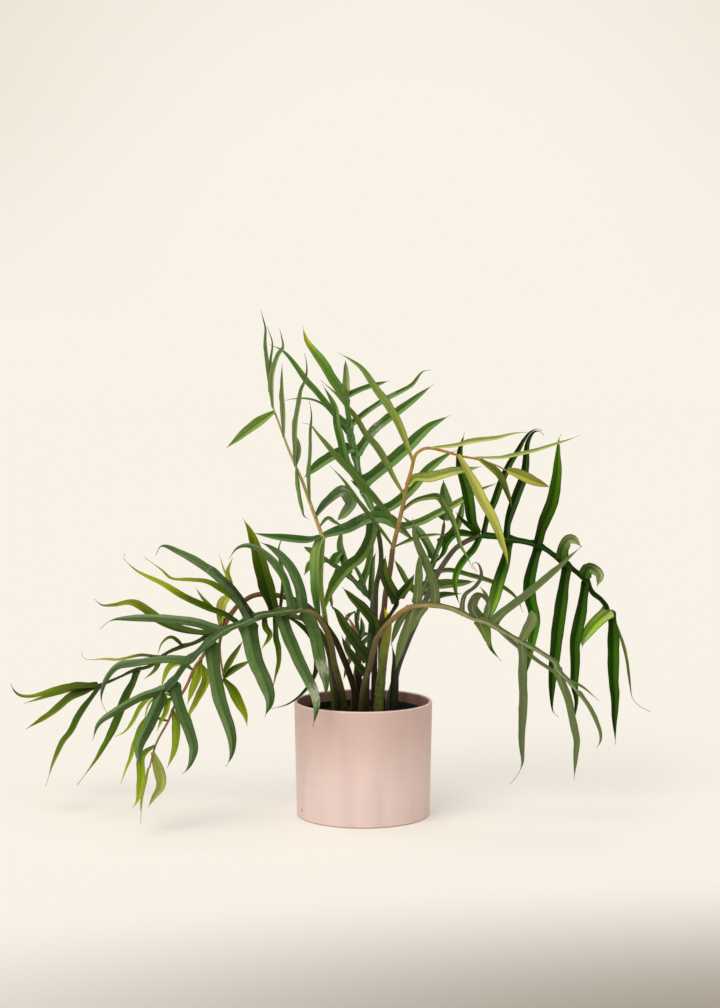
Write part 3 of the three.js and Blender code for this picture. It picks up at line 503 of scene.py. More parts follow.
def stonewareMaterial():
    # Matt tinted stoneware turned on a wheel: chalky pink, fine level lines, faint clouds of colour
    material, tree, shader = newMaterial("turnedPinkStoneware")
    place = addNode(tree, "TexCoord").outputs["Object"]
    axes = addNode(tree, "SeparateXYZ", {0: place}).outputs
    cloud = addNode(tree, "TexNoise", {"Vector": place, "Scale": 1 / claySet["cloud"], "Detail": 3.0})
    grain = addNode(tree, "TexNoise", {"Vector": place, "Scale": 1 / claySet["grain"], "Detail": 2.0})
    drawn = []
    for (wide, high), detail in ((claySet["streak"], 2.0), (claySet["wash"], 1.0)):
        squeezed = addNode(tree, "VectorMath", {
            0: place, 1: (1 / wide, 1 / wide, 1 / high)}, operation="MULTIPLY")
        drawn.append(addNode(tree, "TexNoise", {"Vector": squeezed, "Scale": 1.0, "Detail": detail}))
    streak, wash = drawn
    pale, warm = claySet["ground"]
    clay = addNode(tree, "Mix", {"Factor": cloud, "A": linear(pale), "B": linear(warm)}, data_type="RGBA")
    # The level streaks and the grain are the clay's own; the upright bands are painted sheen and shade
    for pattern, reach, tones in (
        (streak, (0.35, 0.65), claySet["streakTone"]),
        (grain, (0.3, 0.7), claySet["grainTone"]),
        (wash, (0.35, 0.65), claySet["washTone"]),
    ):
        clay = shaded(tree, clay, pattern, reach, tones)
    # Painted shade: the wall is made browner towards the rim, where the foliage above shades it
    stainReach = [share * potSet["height"] for share in claySet["stainReach"]]
    topShadePainted = overlaid(
        tree, clay, claySet["stain"], axes["Z"], stainReach, claySet["stainMost"],
        interpolation_type="SMOOTHSTEP")

    # The inside wall is bare clay, browner than the outside, and darker still as painted shade in the hollow
    acrossPot = addNode(tree, "CombineXYZ", {0: axes["X"], 1: axes["Y"]})
    fromAxis = addNode(tree, "VectorMath", {0: acrossPot}, operation="LENGTH").outputs["Value"]
    wallTilt = addNode(tree, "Math", {
        0: axes["Z"], 1: potSet["lean"], 2: potSet["innerMiddle"]}, operation="MULTIPLY_ADD")
    inside = addNode(tree, "Math", {0: wallTilt, 1: fromAxis}, operation="GREATER_THAN")
    walled = addNode(tree, "Mix", {
        "Factor": inside, "A": topShadePainted, "B": linear(claySet["inside"])}, data_type="RGBA")

    # A paler rim, painted highlight over rubbed wear, a chip near the foot on the left, and the foot's darker
    # line
    rimReach = [potSet["height"] - drop for drop in claySet["rimReach"]]
    lipHighlighted = overlaid(tree, walled, claySet["rim"], axes["Z"], rimReach, claySet["rimMost"])
    chipGap = addNode(tree, "VectorMath", {0: place, 1: claySet["chipPlace"]}, operation="DISTANCE")
    chipEdge = addNode(tree, "Math", {
        0: grain, 1: claySet["chipRagged"], 2: chipGap.outputs["Value"]}, operation="MULTIPLY_ADD")
    chipped = overlaid(tree, lipHighlighted, claySet["chip"], chipEdge, claySet["chipReach"], claySet["chipMost"])
    footed = overlaid(
        tree, chipped, claySet["foot"], axes["Z"], claySet["footReach"], claySet["footMost"])

    smooth, dull = claySet["roughness"]
    rough = addNode(tree, "MapRange", {
        "Value": streak, "From Min": 0.3, "From Max": 0.7, "To Min": smooth, "To Max": dull})
    relief = addNode(tree, "Math", {
        0: streak, 1: claySet["streakRelief"], 2: grain}, operation="MULTIPLY_ADD")
    bump = addNode(tree, "Bump", {
        "Height": relief, "Distance": claySet["relief"], "Strength": claySet["bump"]})
    feed(tree, shader, {"Base Color": footed, "Roughness": rough, "IOR": 1.5, "Normal": bump})
    return material


plasticSet = {
    "ground": "0C140C",
    "dust": "34342A",
    "dustGrain": 4 * mm,
    "dustReach": (0.5, 0.75),
    "dustMost": 0.5,
    "roughness": (0.3, 0.75),
    "shine": 0.2,
}


def plasticMaterial():
    # Blow-moulded polypropylene growing pot: green-black, a low even gloss with dust on it
    material, tree, shader = newMaterial("mouldedPolypropylene")
    place = addNode(tree, "TexCoord").outputs["Object"]
    dust = addNode(tree, "TexNoise", {"Vector": place, "Scale": 1 / plasticSet["dustGrain"], "Detail": 4.0})
    tone = overlaid(
        tree, linear(plasticSet["ground"]), plasticSet["dust"], dust, plasticSet["dustReach"],
        plasticSet["dustMost"])
    smooth, dull = plasticSet["roughness"]
    rough = addNode(tree, "MapRange", {"Value": dust, "To Min": smooth, "To Max": dull})
    feed(tree, shader, {
        "Base Color": tone, "Roughness": rough, "IOR": 1.49, "Specular IOR Level": plasticSet["shine"]})
    return material


mixSet = {
    "ground": ("1A120D", "46301F"),
    "bark": "7C4328",
    "clump": 8 * mm,             # wet and dry clumps
    "crumb": 1.4 * mm,
    "crumbTone": (0.6, 1.4),
    "roughness": 0.92,
    "shine": 0.2,
    "relief": 0.6 * mm,
    "bump": 0.8,
}


def soilMaterial():
    # Peat and bark: dull near-black brown with redder crumbs
    material, tree, shader = newMaterial("barkPottingMix")
    place = addNode(tree, "TexCoord").outputs["Object"]
    tint = addNode(tree, "Attribute", attribute_name="tint").outputs["Fac"]
    clump = addNode(tree, "TexNoise", {"Vector": place, "Scale": 1 / mixSet["clump"], "Detail": 5.0})
    crumb = addNode(tree, "TexNoise", {"Vector": place, "Scale": 1 / mixSet["crumb"], "Detail": 3.0})
    wet, dry = mixSet["ground"]
    ground = addNode(tree, "Mix", {"Factor": clump, "A": linear(wet), "B": linear(dry)}, data_type="RGBA")
    bark = linear(mixSet["bark"])
    barked = addNode(tree, "Mix", {"Factor": tint, "A": ground, "B": bark}, data_type="RGBA")
    toned = shaded(tree, barked, crumb, (0.3, 0.7), mixSet["crumbTone"])
    bump = addNode(tree, "Bump", {"Height": crumb, "Distance": mixSet["relief"], "Strength": mixSet["bump"]})
    feed(tree, shader, {
        "Base Color": toned, "Roughness": mixSet["roughness"], "Specular IOR Level": mixSet["shine"],
        "Normal": bump})
    return material


# A node tree with named inputs for its sizes, between the geometry and the material
def newTree(name, sizes):
    tree = bpy.data.node_groups.new(name, "GeometryNodeTree")
    ports = tree.interface
    for way in ("INPUT", "OUTPUT"):
        ports.new_socket("Geometry", in_out=way, socket_type="NodeSocketGeometry")
    for key, value in sizes.items():
        kind = "NodeSocketInt" if isinstance(value, int) else "NodeSocketFloat"
        ports.new_socket(key, in_out="INPUT", socket_type=kind).default_value = value
    ports.new_socket("Material", in_out="INPUT", socket_type="NodeSocketMaterial")
    return tree, addNode(tree, "NodeGroupInput").outputs


def closeTree(tree, shape, material):
    real = addNode(tree, "GeometryNodeRealizeInstances", {"Geometry": shape})
    dressed = addNode(tree, "GeometryNodeSetMaterial", {"Geometry": real, "Material": material})
    addNode(tree, "NodeGroupOutput", {"Geometry": dressed})


sweepSet = {
    "Sides": 20,
    "Gather": 1.5,           # above 1 draws the section's points towards the midrib
    "Ridge": 0.6 * mm,       # how far the midrib stands out below
    "Channel": 0.3 * mm,     # how deep the upper side is grooved over it
    "Rib Width": 1.1 * mm,
    "Wave": 0.9 * mm,        # how far the margins rise and fall
    "Wave Length": 26 * mm,
    "Uneven": 0.1,           # share of the width by which the margins wander
}
sweepWander = {"apart": 60.0, "sides": 0.9}    # how far chance and the side lead in the margins' noise
cupPower = 1.1


# A swept part: leaflets, ribs, stalks and sheaths all follow guide lines whose points carry the width, the
# depth and the way the section lies. The section is a closed ring, so every part is a closed skin.
def sweepTree():
    tree, given = newTree("sweptPart", sweepSet)
    lines = addNode(tree, "GeometryNodeMeshToCurve", {"Mesh": given["Geometry"]})
    position = addNode(tree, "GeometryNodeInputPosition")
    centred = addNode(tree, "GeometryNodeStoreNamedAttribute", {
        "Geometry": lines, "Name": "centre", "Value": position}, data_type="FLOAT_VECTOR", domain="POINT")

    # The ring's points tell where they are in the section: across from -1 to 1, and up or under
    ring = addNode(tree, "GeometryNodeCurvePrimitiveCircle", {"Resolution": given["Sides"], "Radius": 1.0})
    spot = addNode(tree, "SeparateXYZ", {0: position}).outputs
    size = addNode(tree, "Math", {0: spot["X"]}, operation="ABSOLUTE")
    gathered = addNode(tree, "Math", {0: size, 1: given["Gather"]}, operation="POWER")
    sign = addNode(tree, "Math", {0: spot["X"]}, operation="SIGN")
    acrossAt = addNode(tree, "Math", {0: gathered, 1: sign}, operation="MULTIPLY")
    section = ring
    for name, value in (("across", acrossAt), ("lift", spot["Y"])):
        section = addNode(tree, "GeometryNodeStoreNamedAttribute", {
            "Geometry": section, "Name": name, "Value": value}, data_type="FLOAT", domain="POINT")
    skin = addNode(tree, "GeometryNodeCurveToMesh", {
        "Curve": centred, "Profile Curve": section, "Fill Caps": True})
    read = {}
    for kind, names in (
        ("FLOAT", ("halfWidth", "halfDepth", "cup", "wave", "length", "chance", "across", "lift")),
        ("FLOAT_VECTOR", ("centre", "side", "facing")),
    ):
        for name in names:
            read[name] = addNode(
                tree, "GeometryNodeInputNamedAttribute", {"Name": name}, data_type=kind).outputs[0]

    # Margins wander: smooth noise along the length, different on the two sides and for every leaflet
    chanceFar = addNode(tree, "Math", {0: read["chance"], 1: sweepWander["apart"]}, operation="MULTIPLY")
    sideFar = addNode(tree, "Math", {0: read["across"], 1: sweepWander["sides"]}, operation="MULTIPLY")
    alongWave = addNode(tree, "Math", {0: read["length"], 1: given["Wave Length"]}, operation="DIVIDE")
    noisePlace = addNode(tree, "CombineXYZ", {0: alongWave, 1: sideFar, 2: chanceFar})
    wander = addNode(tree, "TexNoise", {"Vector": noisePlace, "Scale": 1.0, "Detail": 1.0})
    wanderSigned = addNode(tree, "MapRange", {
        "Value": wander, "From Min": 0.25, "From Max": 0.75, "To Min": -1.0, "To Max": 1.0})
    unevenAt = addNode(tree, "Math", {0: wanderSigned, 1: given["Uneven"], 2: 1.0}, operation="MULTIPLY_ADD")
    reach = addNode(tree, "Math", {0: read["across"], 1: read["halfWidth"]}, operation="MULTIPLY")
    offset = addNode(tree, "Math", {0: reach, 1: unevenAt}, operation="MULTIPLY")
    fromRib = addNode(tree, "Math", {0: offset}, operation="ABSOLUTE")

    # Height of the section: the cup lifts the margins, waves move them, and the body has its thickness
    edgeward = addNode(tree, "Math", {0: read["across"]}, operation="ABSOLUTE")
    bend = addNode(tree, "Math", {0: edgeward, 1: cupPower}, operation="POWER")
    cupWide = addNode(tree, "Math", {0: read["cup"], 1: read["halfWidth"]}, operation="MULTIPLY")
    cupped = addNode(tree, "Math", {0: bend, 1: cupWide}, operation="MULTIPLY")
    square = addNode(tree, "Math", {0: read["across"], 1: read["across"]}, operation="MULTIPLY")
    waveWide = addNode(tree, "Math", {0: given["Wave"], 1: read["wave"]}, operation="MULTIPLY")
    waveHigh = addNode(tree, "Math", {0: waveWide, 1: wanderSigned}, operation="MULTIPLY")
    raised = addNode(tree, "Math", {0: waveHigh, 1: square, 2: cupped}, operation="MULTIPLY_ADD")
    thick = addNode(tree, "Math", {
        0: read["lift"], 1: read["halfDepth"], 2: raised}, operation="MULTIPLY_ADD")

    # The midrib is a soft ridge below and a channel above, falling away as a bell curve
    ribShare = addNode(tree, "Math", {0: fromRib, 1: given["Rib Width"]}, operation="DIVIDE")
    ribFall = addNode(tree, "Math", {0: ribShare, 1: ribShare}, operation="MULTIPLY")
    ribMinus = addNode(tree, "Math", {0: ribFall, 1: -1.0}, operation="MULTIPLY")
    ribForm = addNode(tree, "Math", {0: ribMinus}, operation="EXPONENT")
    isUnder = addNode(tree, "Math", {0: read["lift"], 1: 0.0}, operation="LESS_THAN")
    ribDrop = addNode(tree, "Mix", {
        "Factor": isUnder, "A": given["Channel"], "B": given["Ridge"]}, data_type="FLOAT")
    dropped = addNode(tree, "Math", {0: ribForm, 1: ribDrop}, operation="MULTIPLY")
    height = addNode(tree, "Math", {0: thick, 1: dropped}, operation="SUBTRACT")

    outward = addNode(tree, "VectorMath", {0: read["side"], "Scale": offset}, operation="SCALE")
    upward = addNode(tree, "VectorMath", {0: read["facing"], "Scale": height}, operation="SCALE")
    moved = addNode(tree, "VectorMath", {0: outward, 1: upward}, operation="ADD")
    final = addNode(tree, "VectorMath", {0: moved, 1: read["centre"]}, operation="ADD")
    underAt = addNode(tree, "Math", {0: read["lift"], 1: -1.0}, operation="MULTIPLY")
    marked = skin
    for name, value in (("fromRib", fromRib), ("under", underAt)):
        marked = addNode(tree, "GeometryNodeStoreNamedAttribute", {
            "Geometry": marked, "Name": name, "Value": value}, data_type="FLOAT", domain="POINT")
    shaped = addNode(tree, "GeometryNodeSetPosition", {"Geometry": marked, "Position": final})
    smooth = addNode(tree, "GeometryNodeSetShadeSmooth", {"Geometry": shaped, "Shade Smooth": True})
    closeTree(tree, smooth, given["Material"])
    return tree


weldReach = 0.002 * mm


# The modifier's result as a plain mesh, with its faces turned outwards; sizes are named as the inputs are
def grow(piece, tree, **sizes):
    modifier = piece.modifiers.new("grown", "NODES")
    modifier.node_group = tree
    for item in tree.interface.items_tree:
        key = item.name.replace(" ", "")
        key = key[0].lower() + key[1:]
        if item.in_out == "INPUT" and sizes.get(key) is not None:
            modifier[item.identifier] = sizes[key]
    view = bpy.context.evaluated_depsgraph_get()
    mesh = bpy.data.meshes.new_from_object(piece.evaluated_get(view), depsgraph=view)
    piece.modifiers.remove(modifier)
    piece.data = mesh
    mesh.name = piece.name
    form = bmesh.new()
    form.from_mesh(mesh)
    bmesh.ops.remove_doubles(form, verts=form.verts, dist=weldReach)
    bmesh.ops.recalc_face_normals(form, faces=form.faces)
    form.to_mesh(mesh)
    form.free()


# Places: the fronds are set out as the eye sees them from in front, in millimetres. A point is across and up
# in the plane y = 0, and is then moved along the line of sight to its depth, the third number at some points.
eye = (-4, -2570, 590)


def seen(across, up, depth):
    share = (depth - eye[1]) / -eye[1]
    return Vector((eye[0] + (across - eye[0]) * share, depth, eye[2] + (up - eye[2]) * share))


def placed(points):
    along = [0]
    for a, b in zip(points, points[1:]):
        along.append(along[-1] + math.hypot(b[0] - a[0], b[1] - a[1]))
    known = [i for i, point in enumerate(points) if len(point) > 2]
    line = []
    for i, point in enumerate(points):
        after = next(k for k in known if k >= i)
        before = next(k for k in reversed(known) if k <= i)
        span = along[after] - along[before]
        share = (along[i] - along[before]) / span if span > 0 else 0
        depth = points[before][2] + (points[after][2] - points[before][2]) * share
        line.append(seen(point[0], point[1], depth))
    return line


# The length of each stretch between neighbouring points
def stretches(points):
    return [(b - a).length for a, b in zip(points, points[1:])]


# A smooth curve through points (centripetal), as points at even steps
def curved(points, step):
    ends = [points[0] * 2 - points[1], *points, points[-1] * 2 - points[-2]]
    parts = 24
    fine = []
    for p0, p1, p2, p3 in zip(ends, ends[1:], ends[2:], ends[3:]):
        d0, d1, d2 = (max(length, 1e-4) ** 0.5 for length in stretches((p0, p1, p2, p3)))
        t1 = ((p1 - p0) / d0 - (p2 - p0) / (d0 + d1) + (p2 - p1) / d1) * d1
        t2 = ((p2 - p1) / d1 - (p3 - p1) / (d1 + d2) + (p3 - p2) / d2) * d1
        for i in range(parts):
            t = i / parts
            square = (p2 * 3 - p1 * 3 - t1 * 2 - t2) * t * t
            fine.append(p1 + t1 * t + square + (p1 * 2 - p2 * 2 + t1 + t2) * t ** 3)
    fine.append(points[-1])
    total = sum(stretches(fine))
    count = max(4, round(total / step))
    line, walked, i = [fine[0]], 0, 0
    for n in range(1, count):
        want = total * n / count
        while walked + (fine[i + 1] - fine[i]).length < want:
            walked += (fine[i + 1] - fine[i]).length
            i += 1
        line.append(fine[i].lerp(fine[i + 1], (want - walked) / (fine[i + 1] - fine[i]).length))
    line.append(fine[-1])
    return line, total


def eased(low, high, value):
    share = min(max((value - low) / (high - low), 0), 1)
    return share * share * (3 - 2 * share)


# The planter and what stands in it, in metres, worked out from the frame's own boxes
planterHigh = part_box("planter")[1]
nurseryLow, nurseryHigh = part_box("nursery_pot")
soilLow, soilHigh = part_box("soil")
potSet = {
    "height": planterHigh.z,
    "topRadius": planterHigh.x,
    "baseRadius": planterHigh.x - 3 * mm,
    "wall": 4 * mm,
    "floor": 6 * mm,
    "foot": 2 * mm,
    "lip": 1.3 * mm,
    "lean": 3 * mm / planterHigh.z,
    "innerMiddle": planterHigh.x - 5 * mm,
    "groovePitch": 2.1 * mm,
    "grooveDepth": 0.06 * mm,
    "ringStep": 0.7 * mm,
    "innerStep": 4 * mm,
    "turns": 176,
}


# A turned part: a profile of radius and height goes round the axis; wheel marks run round by "grooved"
def turnedTree():
    tree, given = newTree("turnedPart", {"Turns": 96, "Groove Pitch": 2 * mm, "Groove Depth": 0.0})
    position = addNode(tree, "GeometryNodeInputPosition")
    place = addNode(tree, "SeparateXYZ", {0: position}).outputs
    profile = addNode(tree, "GeometryNodeMeshToCurve", {"Mesh": given["Geometry"]})
    for name, value in (("radiusAt", place["X"]), ("heightAt", place["Z"])):
        profile = addNode(tree, "GeometryNodeStoreNamedAttribute", {
            "Geometry": profile, "Name": name, "Value": value}, data_type="FLOAT", domain="POINT")
    ring = addNode(tree, "GeometryNodeCurvePrimitiveCircle", {"Resolution": given["Turns"], "Radius": 1.0})
    spokes = addNode(tree, "GeometryNodeStoreNamedAttribute", {
        "Geometry": ring, "Name": "spoke", "Value": position}, data_type="FLOAT_VECTOR", domain="POINT")
    skin = addNode(tree, "GeometryNodeCurveToMesh", {"Curve": spokes, "Profile Curve": profile})
    radius, height, grooved, spoke = (
        addNode(tree, "GeometryNodeInputNamedAttribute", {"Name": name}, data_type=kind).outputs[0]
        for name, kind in (
            ("radiusAt", "FLOAT"), ("heightAt", "FLOAT"), ("grooved", "FLOAT"), ("spoke", "FLOAT_VECTOR")))

    # The marks drift a little round the wall, as the maker's hand does
    drift = addNode(tree, "TexNoise", {"Vector": spoke, "Scale": 1.3, "Detail": 1.0})
    driftTurns = addNode(tree, "Math", {0: drift, 1: 1.5}, operation="MULTIPLY")
    turns = addNode(tree, "Math", {0: height, 1: given["Groove Pitch"]}, operation="DIVIDE")
    angle = addNode(tree, "Math", {0: turns, 1: 2 * math.pi, 2: driftTurns}, operation="MULTIPLY_ADD")
    wave = addNode(tree, "Math", {0: angle}, operation="SINE")
    markDepth = addNode(tree, "Math", {0: grooved, 1: given["Groove Depth"]}, operation="MULTIPLY")
    cut = addNode(tree, "Math", {0: wave, 1: markDepth, 2: radius}, operation="MULTIPLY_ADD")
    flat = addNode(tree, "VectorMath", {0: spoke, "Scale": cut}, operation="SCALE")
    raised = addNode(tree, "CombineXYZ", {2: height})
    final = addNode(tree, "VectorMath", {0: flat, 1: raised}, operation="ADD")
    shaped = addNode(tree, "GeometryNodeSetPosition", {"Geometry": skin, "Position": final})
    smooth = addNode(tree, "GeometryNodeSetShadeSmooth", {"Geometry": shaped, "Shade Smooth": True})
    closeTree(tree, smooth, given["Material"])
    return tree


# A chain of points and edges that carries named values, for the trees above to sweep or turn
def guideMesh(name, chains, values):
    points = [row for chain in chains for row in chain]
    edges, first = [], 0
    for chain in chains:
        edges += [(first + i, first + i + 1) for i in range(len(chain) - 1)]
        first += len(chain)
    mesh = bpy.data.meshes.new(name)
    mesh.from_pydata([row["at"] for row in points], edges, [])
    for key, kind in values.items():
        layer = mesh.attributes.new(key, kind, "POINT")
        field = {"FLOAT": "value", "FLOAT_VECTOR": "vector", "FLOAT_COLOR": "color"}[kind]
        for item, row in zip(layer.data, points):
            setattr(item, field, row[key])
    return newObject(name, mesh)


def turnedGuide(name, marks, grooved=lambda mark: 0.0):
    return guideMesh(name, [[{"at": mark, "grooved": grooved(mark)} for mark in marks]], {"grooved": "FLOAT"})


# Points at even steps between two places of the profile, without the ends
def stepped(start, end, step):
    count = max(1, round((Vector(end) - Vector(start)).length / step))
    return [Vector(start).lerp(Vector(end), i / count) for i in range(1, count)]


def planterProfile():
    top, base, wall, lip = (potSet[key] for key in ("topRadius", "baseRadius", "wall", "lip"))
    height, foot, floor = potSet["height"], potSet["foot"], potSet["floor"]
    marks = [Vector((0, 0, 0)), Vector((base - foot, 0, 0))]
    footParts, lipParts = 6, 16
    for i in range(footParts + 1):
        angle = math.pi / 2 * i / footParts
        marks.append(Vector((base - foot + foot * math.sin(angle), 0, foot * (1 - math.cos(angle)))))
    marks += stepped((base, 0, foot), (top, 0, height - lip), potSet["ringStep"])
    for i in range(lipParts + 1):
        angle = math.pi * i / lipParts
        out = abs(math.cos(angle)) ** 0.6
        rise = math.sin(angle) ** 0.8 * (1 - 0.4 * out)
        marks.append(Vector((
            top - wall / 2 + math.copysign(out, math.cos(angle)) * wall / 2, 0, height - lip + lip * rise)))
    marks += stepped((top - wall, 0, height - lip), (base - wall, 0, floor + foot), potSet["innerStep"])
    for radius, level in ((base - wall, floor + foot), (base - wall - foot, floor), (0, floor)):
        marks.append(Vector((radius, 0, level)))
    return marks


# Wheel marks lie on the outer wall alone, and fade out towards the foot and the lip
def wheelMarks(mark):
    foot, lip = potSet["foot"], potSet["lip"]
    fade = eased(foot * 2, foot * 4, mark.z) * eased(1.5 * lip, 5 * lip, potSet["height"] - mark.z)
    return fade if mark.x > potSet["baseRadius"] else 0.0


growingPotSet = {
    "turns": 112,
    "wall": 1.4 * mm,
    "lipDepth": 7 * mm,
    "lipReach": 2.5 * mm,
    "bottom": 62 * mm,
}


def growingPotProfile():
    rim, top, base = nurseryHigh.x, nurseryHigh.z, nurseryLow.z
    wall, bottom = growingPotSet["wall"], growingPotSet["bottom"]
    shoulder, lipEnd = rim - growingPotSet["lipReach"], top - growingPotSet["lipDepth"]
    marks = (
        (0, base), (bottom - 1.5 * mm, base), (bottom, base + 1.5 * mm), (shoulder, lipEnd - 1 * mm),
        (rim - 0.4 * mm, lipEnd), (rim, lipEnd + 0.6 * mm), (rim, top - 0.8 * mm),
        (rim - 0.4 * mm, top - 0.1 * mm), (rim - 0.8 * mm, top), (rim - wall, top - 0.4 * mm),
        (rim - wall - 0.2 * mm, lipEnd + 1 * mm), (shoulder - wall, lipEnd - 2 * mm),
        (bottom - wall, base + wall), (0, base + wall),
    )
    return [Vector((radius, 0, height)) for radius, height in marks]


soilSet = {
    "crumbs": 210000.0,      # per square metre of the top
    "bark": 26000.0,
    "roughness": 2.2 * mm,
    "seed": 5,
    "gap": 0.6 * mm,         # left between the mix and its pot
    "footShare": 0.82,
    "dome": 3 * mm,          # how much the middle stands above the edge
    "shoulder": 3 * mm,
    "shoulderShare": 0.07,
    "sunk": 1.6 * mm,        # room for the crumbs under the top of the solid
    "rings": 28,
    "lump": 9 * mm,
    "tilt": 0.7,             # how far crumbs and chips lean, in radians
    "bodyTint": 0.1,
}
# Half sizes of the smallest and the largest, and the spread of their tint, where 1 is bark
soilBits = {
    "Crumbs": ((0.6 * mm, 0.6 * mm, 0.5 * mm), (1.9 * mm, 1.7 * mm, 1.3 * mm), 0.0, 0.35),
    "Bark": ((1.6 * mm, 1.0 * mm, 0.4 * mm), (4.2 * mm, 2.2 * mm, 0.9 * mm), 0.35, 1.0),
}


def soilProfile():
    radius, top, dome, shoulder = soilHigh.x, soilHigh.z, soilSet["dome"], soilSet["shoulder"]
    wall = radius - soilSet["gap"]
    marks = [Vector((0, 0, soilLow.z)), Vector((radius * soilSet["footShare"], 0, soilLow.z)),
             Vector((wall, 0, top - dome - 2 * shoulder))]
    edge = soilSet["shoulderShare"]
    for i in range(soilSet["rings"] + 1):
        share = 1 - i / soilSet["rings"]
        drop = dome * share ** 2 + shoulder * max(0, share - (1 - edge)) / edge
        marks.append(Vector((wall * share, 0, top - soilSet["sunk"] - drop)))
    return marks


# Potting mix: the top of the body is made uneven, then crumbs and flat bark chips lie all over it
def soilTree():
    tree, given = newTree("pottingMix", {"Seed": 1, "Crumbs": 100000.0, "Bark": 20000.0, "Roughness": 2 * mm})
    place = addNode(tree, "GeometryNodeInputPosition")
    normal = addNode(tree, "SeparateXYZ", {0: addNode(tree, "GeometryNodeInputNormal")})
    isTop = addNode(tree, "Math", {0: normal.outputs["Z"], 1: 0.6}, operation="GREATER_THAN")
    lumps = addNode(tree, "TexNoise", {"Vector": place, "Scale": 1 / soilSet["lump"], "Detail": 4.0})
    centredLumps = addNode(tree, "Math", {0: lumps, 1: 0.55}, operation="SUBTRACT")
    lift = addNode(tree, "Math", {0: centredLumps, 1: given["Roughness"]}, operation="MULTIPLY")
    liftUp = addNode(tree, "CombineXYZ", {2: lift})
    body = addNode(tree, "GeometryNodeSetPosition", {
        "Geometry": given["Geometry"], "Selection": isTop, "Offset": liftUp})
    bodyTint = addNode(tree, "GeometryNodeStoreNamedAttribute", {
        "Geometry": body, "Name": "tint", "Value": soilSet["bodyTint"]}, data_type="FLOAT", domain="POINT")
    joined = addNode(tree, "GeometryNodeJoinGeometry", {"Geometry": bodyTint})
    tilt = soilSet["tilt"]
    for name, seedStep in (("Crumbs", 0.0), ("Bark", 7.0)):
        least, most, tintLeast, tintMost = soilBits[name]
        seeded = addNode(tree, "Math", {0: given["Seed"], 1: seedStep}, operation="ADD")
        spread = addNode(tree, "GeometryNodeDistributePointsOnFaces", {
            "Mesh": body, "Selection": isTop, "Density": given[name], "Seed": seeded})
        shape = addNode(tree, "GeometryNodeMeshIcoSphere", {"Radius": 1.0, "Subdivisions": 1})
        scale, turn, tint = (
            addNode(tree, "FunctionNodeRandomValue", {
                "Min": low, "Max": high, "Seed": seeded}, data_type=kind)
            for low, high, kind in (
                (least, most, "FLOAT_VECTOR"),
                ((-tilt, -tilt, 0.0), (tilt, tilt, 6.28), "FLOAT_VECTOR"),
                (tintLeast, tintMost, "FLOAT")))
        laid = addNode(tree, "GeometryNodeInstanceOnPoints", {
            "Points": spread, "Instance": shape, "Rotation": turn, "Scale": scale})
        tinted = addNode(tree, "GeometryNodeStoreNamedAttribute", {
            "Geometry": laid, "Name": "tint", "Value": tint}, data_type="FLOAT", domain="INSTANCE")
        tree.links.new(tinted.outputs[0], joined.inputs[0])
    closeTree(tree, joined, given["Material"])
    return tree


def finished(piece, slotName, *nodes):
    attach(piece, "root")
    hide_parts(*nodes)


def makePots():
    turning = turnedTree()
    planter = turnedGuide("turnedPlanter", planterProfile(), wheelMarks)
    grow(planter, turning, turns=potSet["turns"], groovePitch=potSet["groovePitch"],
         grooveDepth=potSet["grooveDepth"], material=stonewareMaterial())
    finished(planter, "planter_ceramic", "planter")
    nursery = turnedGuide("growingPot", growingPotProfile())
    grow(nursery, turning, turns=growingPotSet["turns"], material=plasticMaterial())
    finished(nursery, "nursery_plastic", "nursery_pot")
    soil = turnedGuide("pottingMix", soilProfile())
    grow(soil, turning)
    grow(soil, soilTree(), seed=soilSet["seed"], crumbs=soilSet["crumbs"], bark=soilSet["bark"],
         roughness=soilSet["roughness"], material=soilMaterial())
    finished(soil, "potting_mix", "soil")
    print("pots and soil made:", len(planter.data.polygons), len(soil.data.polygons), "faces")


makePots()


